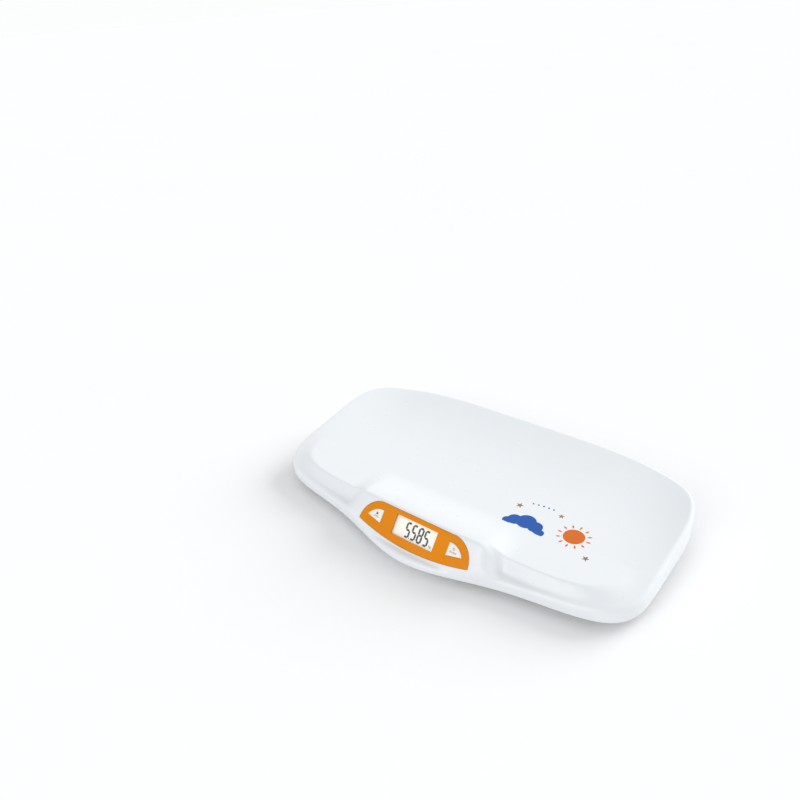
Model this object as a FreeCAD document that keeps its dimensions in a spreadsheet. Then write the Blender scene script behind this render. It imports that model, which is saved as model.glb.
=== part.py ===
import FreeCAD, Part
import math
import os
import Sketcher

# A digital baby weighing scale: a one-piece tray with a sloping display console, closed below by
# a base cover that carries four load cells, the battery compartment and four sprung feet.
# Lengths are millimetres, angles are degrees. +X runs along the tray, -Y is the user's side,
# +Z is up, and the origin lies on the table below the middle of the outline.

Vector = FreeCAD.Vector
Z_AXIS = Vector(0, 0, 1)
X_AXIS = Vector(1, 0, 0)

SIZES = [
    # outline of the tray seen from above
    ("tray_length", 560, "end to end"),
    ("front_depth", 126, "outline centre line to the straight front edge"),
    ("back_depth", 148, "outline centre line to the back edge"),
    ("bulge_reach", 38, "how far the console bulges forward"),
    ("bulge_width", 111, "half-width scale of the bulge"),
    ("front_squareness", 5.5, "exponent of the front half of the outline"),
    ("back_squareness", 4.1, "exponent of the back half of the outline"),
    # heights of the lying surface above the table
    ("floor_height", 43, "flat lying surface"),
    ("back_rim_height", 62, "back rim"),
    ("front_rim_height", 27, "front rim"),
    ("rim_sweep", 1.7, "exponent: how quickly the rim rises from front to back"),
    ("bowl_power", 2.2, "exponent: how late the walls of the bowl steepen"),
    ("end_rise", 90, "outline to where the ends begin to rise"),
    ("back_rise", 166, "outline to where the back begins to rise"),
    ("end_flange", 34, "outline to the floor edge at the ends"),
    ("front_flange", 16, "outline to the floor edge at the front"),
    ("edge_slope", 14, "width of the steep slope below the floor edge"),
    ("edge_squareness", 5.4, "exponent of the floor edge"),
    # walls and skirt
    ("tray_wall", 3.2, "upright thickness of the lying surface"),
    ("skirt_wall", 2.6, "thickness of the skirt"),
    ("skirt_front_gap", 12, "table to skirt edge, front"),
    ("skirt_back_gap", 26, "table to skirt edge, back"),
    # display console
    ("panel_tilt", 50, "slope of the display panel"),
    ("panel_setback", 29, "tip of the bulge to the panel's middle"),
    ("panel_height", 38.5, "table to the panel's middle"),
    ("console_half_width", 92, "flat part of the console"),
    ("console_blend", 36, "console sides fade into the tray"),
    ("console_crest", 22, "crest above the panel's middle, up the slope"),
    ("console_run", 70, "crest down to the lying surface"),
    ("console_foot", 19, "table to the flange below the panel"),
    # display bezel, in its own plane
    ("bezel_top", 19.5, "middle to the straight top edge"),
    ("bezel_top_half", 60, "half-length of the straight top edge"),
    ("bezel_tip_half", 87.5, "middle to the pointed tips"),
    ("bezel_tip_drop", 12.5, "middle down to the tips"),
    ("bezel_bottom", 24, "middle down to the bottom arc"),
    ("bezel_side_half", 77, "middle to the side arcs"),
    ("bezel_side_rise", 11.5, "height of the side arcs' middle"),
    ("bezel_thickness", 2.4, "display bezel"),
    ("bezel_gap", 0.3, "bezel to its recess"),
    ("ledge_width", 2.6, "ledge that the bezel sits on"),
    ("ledge_thickness", 2.4, "ledge behind the bezel"),
    ("ledge_root", 4, "ledge beyond the recess"),
    ("window_width", 66, "opening for the display"),
    ("window_height", 26, "opening for the display"),
    ("pane_border", 2.3, "clear pane beyond the opening"),
    ("pane_thickness", 1.2, "clear pane"),
    # keys
    ("key_inner", 53.5, "middle to the straight side of a key"),
    ("key_outer", 75.5, "middle to the outer corner of a key"),
    ("key_top", 9.4, "middle up to the upper corner of a key"),
    ("key_bottom", 7.5, "middle down to the lower corner of a key"),
    ("key_corner_drop", 3, "middle down to the outer corner of a key"),
    ("key_arc_half", 67.5, "middle to the rounded side of a key"),
    ("key_arc_rise", 6, "middle up to the rounded side of a key"),
    ("key_gap", 0.35, "key to its opening"),
    ("key_proud", 0.9, "key above the bezel"),
    ("key_flange", 1.3, "flange that keeps a key in"),
    ("key_flange_thickness", 1, "flange that keeps a key in"),
    ("key_play", 0.1, "key flange to the back of the bezel"),
    ("key_travel", 0.4, "how far a key goes down"),
    ("key_stem_diameter", 5, "stem under a key"),
    # display and board behind the panel
    ("glass_side_border", 4, "display glass beyond the opening, sideways"),
    ("glass_top_border", 2, "display glass beyond the opening, up and down"),
    ("glass_thickness", 2.6, "display glass"),
    ("glass_gap", 0.3, "pane to display glass"),
    ("holder_wall", 1.2, "display holder"),
    ("holder_gap", 0.2, "display holder to glass"),
    ("strip_width", 2.4, "connector strip"),
    ("board_gap", 2.9, "display glass to board"),
    ("board_length", 142, "main board"),
    ("board_height", 25, "main board"),
    ("board_thickness", 1.6, "main board"),
    ("switch_middle", 62.5, "middle to the push switches"),
    ("switch_side", 6, "push switch body"),
    ("switch_height", 3.5, "push switch body"),
    ("plunger_diameter", 3.4, "push switch plunger"),
    ("plunger_gap", 0.06, "plunger to its bore"),
    ("plunger_sunk", 1, "plunger inside the switch body"),
    ("bore_spare", 0.3, "bore below the plunger when it is down"),
    ("post_diameter", 5, "posts on the bezel that carry the board"),
    ("post_half", 44.5, "middle to the posts, sideways"),
    ("post_rise", 9, "middle to the posts, up and down"),
    ("board_screw_diameter", 2.2, "board screws"),
    ("board_screw_length", 7, "board screws"),
    ("chip_side", 12, "chip on the back of the board"),
    ("chip_height", 1.4, "chip on the back of the board"),
    # base cover
    ("base_inset", 12, "housing wall inside the tray outline"),
    ("housing_wall", 2.4, "wall that drops from the tray to the base cover"),
    ("base_gap", 8, "table to base cover"),
    ("base_thickness", 2.5, "base cover"),
    ("lip_gap", 0.4, "base cover lip to housing wall"),
    ("lip_wall", 2, "base cover lip"),
    ("lip_height", 2.6, "base cover lip"),
    ("boss_diameter", 9, "tray bosses for the base screws"),
    ("boss_end_inset", 40, "outline to the end bosses"),
    ("boss_half_length", 120, "middle to the front and back bosses"),
    ("boss_front_inset", 20, "straight front edge to the front bosses"),
    ("boss_back_inset", 26, "back edge to the back bosses"),
    ("base_screw_diameter", 3, "base screws"),
    ("base_screw_length", 12, "base screws"),
    ("base_screw_head", 6, "base screws"),
    ("base_screw_cone", 1.7, "countersink of the base screws"),
    ("screw_clearance", 0.2, "screw to its through hole, on the radius"),
    ("thread_bite", 0.35, "screw thread into plastic, on the radius"),
    # feet and load cells
    ("foot_end_inset", 85, "outline to the feet"),
    ("foot_front_inset", 52, "straight front edge to the front feet"),
    ("foot_back_inset", 62, "back edge to the back feet"),
    ("pad_diameter", 24, "rubber foot pads"),
    ("pad_thickness", 2.5, "rubber foot pads"),
    ("cap_diameter", 30, "foot caps"),
    ("cap_clearance", 1.4, "foot cap to base cover"),
    ("stem_diameter", 13, "foot cap stem under the load cell"),
    ("stem_gap", 1.2, "stem to its hole in the base cover"),
    ("cell_side", 34, "load cell plate"),
    ("cell_thickness", 2.4, "load cell plate"),
    ("cell_lift", 2.7, "base cover to load cell plate"),
    ("cell_slot", 2, "slot that frees the middle tongue"),
    ("cell_rim", 5, "outer rim of the plate"),
    ("cradle_gap", 0.3, "load cell to its cradle"),
    ("cradle_wall", 3, "load cell cradle"),
    ("cradle_roof", 1.9, "load cell cradle above the rim of the plate"),
    ("cradle_ear", 9, "screw ears of a cradle"),
    ("ear_offset", 12, "screw ears beside the cradle's middle"),
    ("ear_thickness", 3, "screw ears of a cradle"),
    ("notch_width", 5, "notch that the leads leave a cradle by"),
    ("cradle_screw_diameter", 2.5, "cradle screws"),
    ("cradle_screw_length", 5, "cradle screws"),
    # battery compartment
    ("battery_diameter", 14.5, "round battery"),
    ("battery_length", 50.5, "round battery with its button"),
    ("button_length", 1, "battery button"),
    ("button_diameter", 5.5, "battery button"),
    ("battery_count", 4, "batteries side by side"),
    ("battery_space", 0.6, "battery to its neighbour and to the walls"),
    ("battery_back_inset", 90, "back edge to the compartment's middle"),
    ("spring_space", 6, "room for a contact spring and its plate"),
    ("plate_space", 0.8, "room for a contact plate"),
    ("plate_thickness", 0.5, "contact plates"),
    ("plate_side", 9, "contact plates"),
    ("spring_diameter", 8, "contact springs"),
    ("spring_wire", 0.8, "contact springs"),
    ("spring_turns", 3, "contact springs"),
    ("compartment_wall", 2, "battery compartment"),
    ("door_thickness", 2.2, "battery door"),
    ("door_gap", 0.35, "battery door to its opening"),
    ("door_inner_gap", 0.4, "batteries above the door"),
    ("tab_width", 10, "hinge tabs of the door"),
    ("tab_reach", 4, "hinge tabs of the door"),
    ("tab_thickness", 1.4, "hinge tabs of the door"),
    ("tab_half", 18, "middle to the hinge tabs"),
    ("tab_gap", 0.5, "hinge tabs to their notches"),
    ("grip_width", 18, "finger grip in the door"),
    ("grip_depth", 1, "finger grip in the door"),
    # internal leads
    ("lead_diameter", 1.8, "load cell and battery leads"),
]

doc = FreeCAD.newDocument("baby_scale")
sheet = doc.addObject("Spreadsheet::Sheet", "sizes")
subparts = []


class Size:
    """A number that keeps its spreadsheet expression, so what is built from it stays bound."""

    def __init__(self, text, value):
        self.text = text
        self.value = float(value)

    @staticmethod
    def of(other):
        if isinstance(other, Size):
            return other
        return Size("(%r)" % float(other), other)

    def __add__(self, other):
        other = Size.of(other)
        return Size("(%s + %s)" % (self.text, other.text), self.value + other.value)

    def __sub__(self, other):
        other = Size.of(other)
        return Size("(%s - %s)" % (self.text, other.text), self.value - other.value)

    def __mul__(self, other):
        other = Size.of(other)
        return Size("(%s * %s)" % (self.text, other.text), self.value * other.value)

    def __truediv__(self, other):
        other = Size.of(other)
        return Size("(%s / %s)" % (self.text, other.text), self.value / other.value)

    def __radd__(self, other):
        return Size.of(other) + self

    def __rsub__(self, other):
        return Size.of(other) - self

    def __rmul__(self, other):
        return Size.of(other) * self

    def __neg__(self):
        return Size.of(0) - self

    def __float__(self):
        return self.value


class Sizes:
    """Reads a driving dimension from the sheet by its alias, as a Size."""

    def __getattr__(self, alias):
        return Size("sizes.%s" % alias, sheet.get(alias))


size = Sizes()


def fill_sheet():
    for row, (alias, value, note) in enumerate(SIZES, start=1):
        sheet.set("A%d" % row, alias)
        sheet.set("B%d" % row, str(value))
        sheet.set("C%d" % row, note)
        sheet.setAlias("B%d" % row, alias)
    doc.recompute()


# ---------------------------------------------------------------- document helpers

def bind(obj, prop, value):
    """Sets a property from a Size or a plain number, bound to the sheet where it is a Size."""
    value = Size.of(value)
    obj.setExpression(prop, value.text)


def place(obj, x, y, z):
    """Puts an object's origin at x, y, z."""
    bind(obj, "Placement.Base.x", x)
    bind(obj, "Placement.Base.y", y)
    bind(obj, "Placement.Base.z", z)


def box(name, length, width, height, x=0, y=0, z=0):
    """A box centred on x, y that stands on z."""
    obj = doc.addObject("Part::Box", name)
    bind(obj, "Length", length)
    bind(obj, "Width", width)
    bind(obj, "Height", height)
    place(obj, x - Size.of(length) / 2, y - Size.of(width) / 2, z)
    return obj


def cylinder(name, diameter, height, x=0, y=0, z=0):
    """An upright cylinder on the axis x, y that stands on z."""
    obj = doc.addObject("Part::Cylinder", name)
    bind(obj, "Radius", Size.of(diameter) / 2)
    bind(obj, "Height", height)
    place(obj, x, y, z)
    return obj


def cone(name, lower, upper, height, x=0, y=0, z=0):
    """An upright truncated cone with the diameters lower and upper."""
    obj = doc.addObject("Part::Cone", name)
    bind(obj, "Radius1", Size.of(lower) / 2)
    bind(obj, "Radius2", Size.of(upper) / 2)
    bind(obj, "Height", height)
    place(obj, x, y, z)
    return obj


def fuse(name, pieces):
    obj = doc.addObject("Part::MultiFuse", name)
    obj.Shapes = pieces
    return obj


def cut(name, base, tools):
    tool = tools[0] if len(tools) == 1 else fuse(name + "_tools", tools)
    obj = doc.addObject("Part::Cut", name)
    obj.Base = base
    obj.Tool = tool
    return obj


def group(name, pieces):
    """Identical loose pieces that share one node."""
    obj = doc.addObject("Part::Compound", name)
    obj.Links = pieces
    return obj


def feature(name, shape):
    """A piece whose shape has no primitive or sketch of its own."""
    obj = doc.addObject("Part::Feature", name)
    obj.Shape = shape
    return obj


def subpart(obj, label):
    """Names a finished sub-part."""
    obj.Label = label
    subparts.append(obj)
    return obj


def on_panel(obj):
    """Moves a piece drawn flat to the sloping panel: x along it, y up the slope, z outwards."""
    obj.Placement = panel_placement()
    return obj


def body(name):
    return doc.addObject("PartDesign::Body", name)


def sketch(owner, name, lift):
    """A sketch parallel to its body's XY plane, raised by lift."""
    plane = [part for part in owner.Origin.OriginFeatures if part.Role == "XY_Plane"][0]
    obj = owner.newObject("Sketcher::SketchObject", name)
    obj.AttachmentSupport = [(plane, "")]
    obj.MapMode = "FlatFace"
    bind(obj, "AttachmentOffset.Base.z", lift)
    return obj


def pad(owner, name, profile, length, reversed_side=False):
    obj = owner.newObject("PartDesign::Pad", name)
    obj.Profile = profile
    bind(obj, "Length", length)
    obj.Reversed = reversed_side
    return obj


def pin(drawing, element, end, point):
    """Ties one end of a sketch element to sizes measured from the sketch's origin."""
    for kind, axis, value in (("DistanceX", -2, point[0]), ("DistanceY", -1, point[1])):
        value = Size.of(value)
        if value.value == 0:
            drawing.addConstraint(Sketcher.Constraint("PointOnObject", element, end, axis))
            continue
        index = drawing.addConstraint(
            Sketcher.Constraint(kind, -1, 1, element, end, value.value))
        drawing.setExpression("Constraints[%d]" % index, value.text)


def flat(point):
    return Vector(float(point[0]), float(point[1]), 0)


def draw(drawing, corners, bends=None):
    """Draws a closed outline anticlockwise; bends[i] is a point that the arc after corner i meets."""
    bends = bends or {}
    first = drawing.GeometryCount
    count = len(corners)
    for i, corner in enumerate(corners):
        following = corners[(i + 1) % count]
        if i in bends:
            curve = Part.Arc(flat(corner), flat(bends[i]), flat(following))
        else:
            curve = Part.LineSegment(flat(corner), flat(following))
        drawing.addGeometry(curve, False)
    for i, corner in enumerate(corners):
        previous = first + (i - 1) % count
        drawing.addConstraint(Sketcher.Constraint("Coincident", previous, 2, first + i, 1))
        pin(drawing, first + i, 1, corner)
    for i, bend in bends.items():
        mark = drawing.addGeometry(Part.Point(flat(bend)), True)
        pin(drawing, mark, 1, bend)
        drawing.addConstraint(Sketcher.Constraint("PointOnObject", mark, 1, first + i))


def draw_box(drawing, width, height, x=0, y=0):
    half_x = Size.of(width) / 2
    half_y = Size.of(height) / 2
    draw(drawing, [(x - half_x, y - half_y), (x + half_x, y - half_y),
                   (x + half_x, y + half_y), (x - half_x, y + half_y)])


def draw_circle(drawing, diameter, x, y):
    radius = Size.of(diameter) / 2
    index = drawing.addGeometry(Part.Circle(flat((x, y)), Z_AXIS, radius.value), False)
    pin(drawing, index, 3, (x, y))
    rule = drawing.addConstraint(Sketcher.Constraint("Radius", index, radius.value))
    drawing.setExpression("Constraints[%d]" % rule, radius.text)


# ---------------------------------------------------------------- shared places

def outline_centre():
    """Y of the outline's centre line, so that the whole outline is centred on the origin."""
    return (size.front_depth + size.bulge_reach - size.back_depth) / 2


def straight_front():
    return outline_centre() - size.front_depth


def bulge_tip():
    return straight_front() - size.bulge_reach


def back_edge():
    return outline_centre() + size.back_depth


def panel_y():
    return bulge_tip() + size.panel_setback


def panel_placement():
    middle = Vector(0, float(panel_y()), float(size.panel_height))
    return FreeCAD.Placement(middle, FreeCAD.Rotation(X_AXIS, float(size.panel_tilt)))


def base_top():
    return size.base_gap + size.base_thickness


def cell_bottom():
    return base_top() + size.cell_lift


def cell_top():
    return cell_bottom() + size.cell_thickness


def glass_face():
    """Depth of the display glass's front below the panel's face."""
    return size.bezel_thickness + size.pane_thickness + size.glass_gap


def board_face():
    return glass_face() + size.glass_thickness + size.board_gap


def foot_places():
    """Each foot's name and centre."""
    half = size.tray_length / 2 - size.foot_end_inset
    front = straight_front() + size.foot_front_inset
    back = back_edge() - size.foot_back_inset
    return [("front_left", -half, front), ("front_right", half, front),
            ("back_left", -half, back), ("back_right", half, back)]


def boss_places():
    end = size.tray_length / 2 - size.boss_end_inset
    side = size.boss_half_length
    front = straight_front() + size.boss_front_inset
    back = back_edge() - size.boss_back_inset
    middle = outline_centre()
    return [(-end, middle), (end, middle), (-side, front), (side, front), (-side, back), (side, back)]


def post_places():
    return [(size.post_half * across, size.post_rise * up) for across in (-1, 1) for up in (-1, 1)]


def compartment():
    """Inner length, width and middle of the battery compartment."""
    length = size.battery_length + size.spring_space + size.plate_space
    pitch = size.battery_diameter + size.battery_space
    width = size.battery_count * pitch + size.battery_space
    return length, width, back_edge() - size.battery_back_inset


def compartment_roof():
    """Underside of the compartment's roof."""
    return battery_bottom() + size.battery_diameter + size.battery_space


def battery_bottom():
    return size.base_gap + size.door_thickness + size.door_inner_gap


# ---------------------------------------------------------------- the tray's form

def smooth_step(share):
    share = max(0.0, min(1.0, share))
    return share * share * (3 - 2 * share)


def soft_min(first, second, reach):
    """The lower of two heights, rounded where they differ by less than reach."""
    share = max(0.0, min(1.0, 0.5 + 0.5 * (second - first) / reach))
    return second + (first - second) * share - reach * share * (1 - share)


def soft_max(first, second, reach):
    return -soft_min(-first, -second, reach)


class TrayForm:
    """The tray's outline and the height of its lying surface, worked out from the sheet."""

    CORNER_ROUNDING = 3.0    # how softly the console's planes meet
    ARC_STEPS = 1440         # fine polygon that the outline's points are spaced along
    OUTLINE_POINTS = 96      # points of the outline curve
    SURFACE_MARGIN = 8.0     # the lying surface is made this much larger than the outline

    def __init__(self):
        self.half = float(size.tray_length) / 2
        self.centre = float(outline_centre())
        self.front = float(size.front_depth)
        self.back = float(size.back_depth)
        self.tilt = math.radians(float(size.panel_tilt))

    def polar_point(self, angle):
        """A superellipse point, in front pushed out by a bell-shaped bulge."""
        cosine = math.cos(angle)
        sine = math.sin(angle)
        power = float(size.front_squareness if sine < 0 else size.back_squareness)
        depth = self.front if sine < 0 else self.back
        radius = (abs(cosine / self.half) ** power + abs(sine / depth) ** power) ** (-1 / power)
        x = radius * cosine
        y = radius * sine
        if sine < 0:
            bell = math.exp(-(x / float(size.bulge_width)) ** 2)
            y -= float(size.bulge_reach) * bell * abs(y) / depth
        return x, self.centre + y

    def outline(self, inset):
        """Evenly spaced points of the outline, moved inwards by inset."""
        steps = self.ARC_STEPS
        raw = [self.polar_point(math.pi / 2 + 2 * math.pi * i / steps) for i in range(steps)]
        walked = [0.0]
        for i in range(steps):
            here = raw[i]
            there = raw[(i + 1) % steps]
            walked.append(walked[-1] + math.hypot(there[0] - here[0], there[1] - here[1]))
        points = []
        i = 0
        for k in range(self.OUTLINE_POINTS):
            goal = walked[-1] * k / self.OUTLINE_POINTS
            while walked[i + 1] < goal:
                i += 1
            share = (goal - walked[i]) / (walked[i + 1] - walked[i])
            before = raw[(i - 2) % steps]
            after = raw[(i + 3) % steps]
            run = Vector(after[0] - before[0], after[1] - before[1], 0).normalize()
            here = raw[i]
            there = raw[(i + 1) % steps]
            x = here[0] + share * (there[0] - here[0]) - inset * run.y
            y = here[1] + share * (there[1] - here[1]) + inset * run.x
            points.append(Vector(x, y, 0))
        return points

    def prism(self, inset, bottom, top):
        """The space inside the inset outline between two heights."""
        curve = Part.BSplineCurve()
        curve.interpolate(self.outline(inset), PeriodicFlag=True)
        solid = Part.Face(Part.Wire([curve.toShape()])).extrude(Vector(0, 0, top - bottom))
        solid.translate(Vector(0, 0, bottom))
        return solid

    def rim_height(self, y):
        """Height of the rim: it climbs quickly behind the front corners, then levels out."""
        share = (y - self.centre + self.front) / (self.front + self.back)
        share = max(0.0, min(1.0, share))
        back = float(size.back_rim_height)
        return back - (back - float(size.front_rim_height)) * (1 - share) ** float(size.rim_sweep)

    def bowl_rise(self, x, y):
        """Rise of the ends and back above the floor."""
        end_rise = float(size.end_rise)
        back_rise = float(size.back_rise)
        along = max(0.0, abs(x) - self.half + end_rise) / end_rise
        across = max(0.0, y - self.centre - self.back + back_rise) / back_rise
        power = float(size.bowl_power)
        reach = min(1.05, (along ** power + across ** power) ** (1 / power))
        return max(0.0, self.rim_height(y) - float(size.floor_height)) * reach ** power

    def edge_drop(self, x, y):
        """Fall from the floor to the front rim, over a steep slope outside the floor's edge."""
        drop = max(0.0, float(size.floor_height) - self.rim_height(y))
        depth = self.front - float(size.front_flange)
        length = self.half - float(size.end_flange)
        power = float(size.edge_squareness)
        forward = max(0.0, self.centre - y) / depth
        reach = (abs(x / length) ** power + forward ** power) ** (1 / power)
        slope = float(size.edge_slope) / depth
        share = max(0.0, min(1.0, (1 + slope - reach) / slope))
        return drop * (1 - math.sin(math.pi / 2 * share * share))

    def console_height(self, y):
        """The console's profile: foot flange, sloping panel, crest, and the run to the floor."""
        middle = float(panel_y())
        crest = float(size.console_crest)
        panel = float(size.panel_height) + (y - middle) * math.tan(self.tilt)
        crest_y = middle + crest * math.cos(self.tilt)
        crest_z = float(size.panel_height) + crest * math.sin(self.tilt)
        floor = float(size.floor_height)
        fall = smooth_step((y - crest_y) / float(size.console_run))
        crown = floor + (crest_z - floor) * (1 - fall)
        slope = soft_min(panel, crown, self.CORNER_ROUNDING)
        return soft_max(slope, float(size.console_foot), self.CORNER_ROUNDING)

    def height(self, x, y):
        """Height of the lying surface's top face."""
        side = float(size.floor_height) + self.bowl_rise(x, y) - self.edge_drop(x, y)
        away = (abs(x) - float(size.console_half_width)) / float(size.console_blend)
        share = 1 - smooth_step(away)
        if share == 0 or y > self.centre:
            return side
        return side + (self.console_height(y) - side) * share

    def grid(self):
        """Stations along X and Y: close together where the front slopes, wider elsewhere."""
        reach = self.half + self.SURFACE_MARGIN
        count = 58
        stations_x = [-reach + 2 * reach * i / count for i in range(count + 1)]
        start = float(bulge_tip()) - self.SURFACE_MARGIN
        crest = float(straight_front()) + float(size.front_flange) + float(size.edge_slope)
        stop = float(back_edge()) + self.SURFACE_MARGIN
        stations_y = [start + (crest - start) * i / 16 for i in range(16)]
        stations_y += [crest + (stop - crest) * i / 18 for i in range(19)]
        return stations_x, stations_y

    def space_above(self, lower, headroom=120.0):
        """Everything above the lying surface once that is lowered by lower."""
        stations_x, stations_y = self.grid()
        rows = [[Vector(x, y, self.height(x, y) - lower) for y in stations_y] for x in stations_x]
        surface = Part.BSplineSurface()
        surface.interpolate(rows)
        return surface.toShape().extrude(Vector(0, 0, headroom))

    def block(self, inset, bottom, lower):
        """The solid below the lowered surface, inside the inset outline."""
        solid = self.prism(inset, bottom, 100.0).cut(self.space_above(lower))
        return solid.Solids[0]


def bezel_face():
    """The bezel's outline in its own plane, as a flat face."""
    right = Vector(float(size.bezel_top_half), float(size.bezel_top), 0)
    left = Vector(-right.x, right.y, 0)
    tip = Vector(float(size.bezel_tip_half), -float(size.bezel_tip_drop), 0)
    far_tip = Vector(-tip.x, tip.y, 0)
    side = Vector(float(size.bezel_side_half), float(size.bezel_side_rise), 0)
    far_side = Vector(-side.x, side.y, 0)
    bottom = Vector(0, -float(size.bezel_bottom), 0)
    edges = [Part.LineSegment(right, left), Part.Arc(left, far_side, far_tip),
             Part.Arc(far_tip, bottom, tip), Part.Arc(tip, side, right)]
    return Part.Face(Part.Wire([edge.toShape() for edge in edges]))


def panel_slab(offset, deep, proud):
    """The bezel's outline grown by offset, from deep below the panel's face to proud above it."""
    face = bezel_face().makeOffset2D(offset) if offset else bezel_face()
    slab = face.extrude(Vector(0, 0, deep + proud))
    slab.translate(Vector(0, 0, -deep))
    slab.Placement = panel_placement().multiply(slab.Placement)
    return slab


def skirt_trim():
    """The half-space below the skirt's sloping edge."""
    run = float(size.front_depth + size.back_depth)
    rise = float(size.skirt_back_gap - size.skirt_front_gap)
    reach = 2 * float(size.tray_length)
    trim = Part.makeBox(reach, reach, reach, Vector(-reach / 2, -reach / 2, -reach))
    trim.Placement = FreeCAD.Placement(
        Vector(0, float(straight_front()), float(size.skirt_front_gap)),
        FreeCAD.Rotation(X_AXIS, math.degrees(math.atan2(rise, run))))
    return trim


def make_tray(form):
    """Lying surface, skirt, housing wall, screw bosses and the recess for the bezel, in one."""
    wall = float(size.tray_wall)
    inset = float(size.base_inset)
    top = float(base_top())
    shell = form.block(0.0, 0.0, 0.0).cut(form.block(float(size.skirt_wall), -1.0, wall))
    shell = shell.cut(skirt_trim())
    core = form.block(float(size.skirt_wall) / 2, 0.0, wall / 2)
    housing = form.prism(inset, top, 100.0)
    housing = housing.cut(form.prism(inset + float(size.housing_wall), top - 1, 101.0))
    inner = [housing.common(core)]
    for x, y in boss_places():
        post = Part.makeCylinder(float(size.boss_diameter) / 2, 100.0,
                                 Vector(float(x), float(y), top))
        inner.append(post.common(core))
    recess = float(size.bezel_thickness)
    ledge = recess + float(size.ledge_thickness)
    inner.append(panel_slab(float(size.ledge_root), ledge, 0.0).common(core))
    tray = shell.fuse(inner)
    room = float(board_face() + size.board_thickness + size.chip_height) + 2.0
    cuts = [panel_slab(float(size.bezel_gap), recess, 10.0),
            panel_slab(-float(size.ledge_width), room, 0.0)]
    bite = float(size.base_screw_diameter) / 2 - float(size.thread_bite)
    depth = float(size.base_screw_length - size.base_thickness) + 1.0
    for x, y in boss_places():
        cuts.append(Part.makeCylinder(bite, depth, Vector(float(x), float(y), top)))
    tray = tray.cut(cuts)
    return subpart(feature("tray", tray.Solids[0]), "tray")


# ---------------------------------------------------------------- console pieces

def draw_key(drawing, side, grow):
    """Draws a key's outline on the right (side 1) or the left (side -1)."""
    inner = size.key_inner - grow
    outer = size.key_outer + grow * 1.5
    top = size.key_top + grow
    bottom = -size.key_bottom - grow
    corner = -size.key_corner_drop - grow
    bend_x = size.key_arc_half + grow * 0.8
    bend_y = size.key_arc_rise + grow * 0.8
    if side > 0:
        draw(drawing, [(inner, top), (inner, bottom), (outer, corner)], {2: (bend_x, bend_y)})
    else:
        draw(drawing, [(-inner, top), (-outer, corner), (-inner, bottom)], {0: (-bend_x, bend_y)})


def draw_bezel(drawing):
    right = (size.bezel_top_half, size.bezel_top)
    left = (-size.bezel_top_half, size.bezel_top)
    far_tip = (-size.bezel_tip_half, -size.bezel_tip_drop)
    tip = (size.bezel_tip_half, -size.bezel_tip_drop)
    far_side = (-size.bezel_side_half, size.bezel_side_rise)
    side = (size.bezel_side_half, size.bezel_side_rise)
    draw(drawing, [right, left, far_tip, tip],
         {1: far_side, 2: (Size.of(0), -size.bezel_bottom), 3: side})


def make_bezel():
    """Half-moon display bezel with its display opening, key openings and board posts."""
    owner = body("display_bezel")
    face = sketch(owner, "bezel_outline", -size.bezel_thickness)
    draw_bezel(face)
    draw_box(face, size.window_width, size.window_height)
    draw_key(face, -1, size.key_gap)
    draw_key(face, 1, size.key_gap)
    pad(owner, "bezel_plate", face, size.bezel_thickness)
    posts = sketch(owner, "bezel_posts", -size.bezel_thickness)
    for x, y in post_places():
        draw_circle(posts, size.post_diameter, x, y)
        draw_circle(posts, size.board_screw_diameter - 2 * size.thread_bite, x, y)
    pad(owner, "bezel_post_pads", posts, board_face() - size.bezel_thickness, True)
    return subpart(on_panel(owner), "display_bezel")


def make_flat_piece(name, label, outline_width, outline_height, thickness, low, y=0):
    """A rectangular piece parallel to the panel, its back face at low."""
    owner = body(name)
    face = sketch(owner, name + "_outline", low)
    draw_box(face, outline_width, outline_height, 0, y)
    pad(owner, name + "_pad", face, thickness)
    return subpart(on_panel(owner), label)


def glass_width():
    return size.window_width + 2 * size.glass_side_border


def glass_height():
    return size.window_height + 2 * size.glass_top_border


def make_display():
    """Clear pane, display glass, the holder round it and the connector strip to the board."""
    make_flat_piece("pane", "display_window", size.window_width + 2 * size.pane_border,
                    size.window_height + 2 * size.pane_border, size.pane_thickness,
                    -size.bezel_thickness - size.pane_thickness)
    glass_back = glass_face() + size.glass_thickness
    make_flat_piece("glass", "lcd_glass", glass_width(), glass_height(), size.glass_thickness,
                    -glass_back)
    strip_y = size.strip_width / 2 - glass_height() / 2
    make_flat_piece("strip", "connector_strip", size.window_width - 2 * size.glass_side_border,
                    size.strip_width, size.board_gap, -board_face(), strip_y)
    make_holder(glass_back)


def make_holder(glass_back):
    """Frame round the display glass, with a shelf behind it that leaves the strip free."""
    inner_width = glass_width() + 2 * size.holder_gap
    inner_height = glass_height() + 2 * size.holder_gap
    outer_width = inner_width + 2 * size.holder_wall
    outer_height = inner_height + 2 * size.holder_wall
    depth = board_face() - glass_face()
    frame = cut("holder_frame",
                box("holder_outer", outer_width, outer_height, depth, 0, 0, -board_face()),
                [box("holder_inner", inner_width, inner_height, depth + 2, 0, 0,
                     -board_face() - 1)])
    opening_width = size.window_width - size.glass_side_border
    shelf = cut("holder_shelf",
                box("shelf_plate", inner_width + size.holder_wall, inner_height + size.holder_wall,
                    size.holder_wall, 0, 0, -glass_back - size.holder_wall),
                [box("shelf_opening", opening_width, inner_height - size.strip_width,
                     3 * size.holder_wall, 0, -size.strip_width / 2,
                     -glass_back - 2 * size.holder_wall)])
    holder = fuse("holder", [frame, shelf])
    return subpart(on_panel(holder), "lcd_holder")


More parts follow.
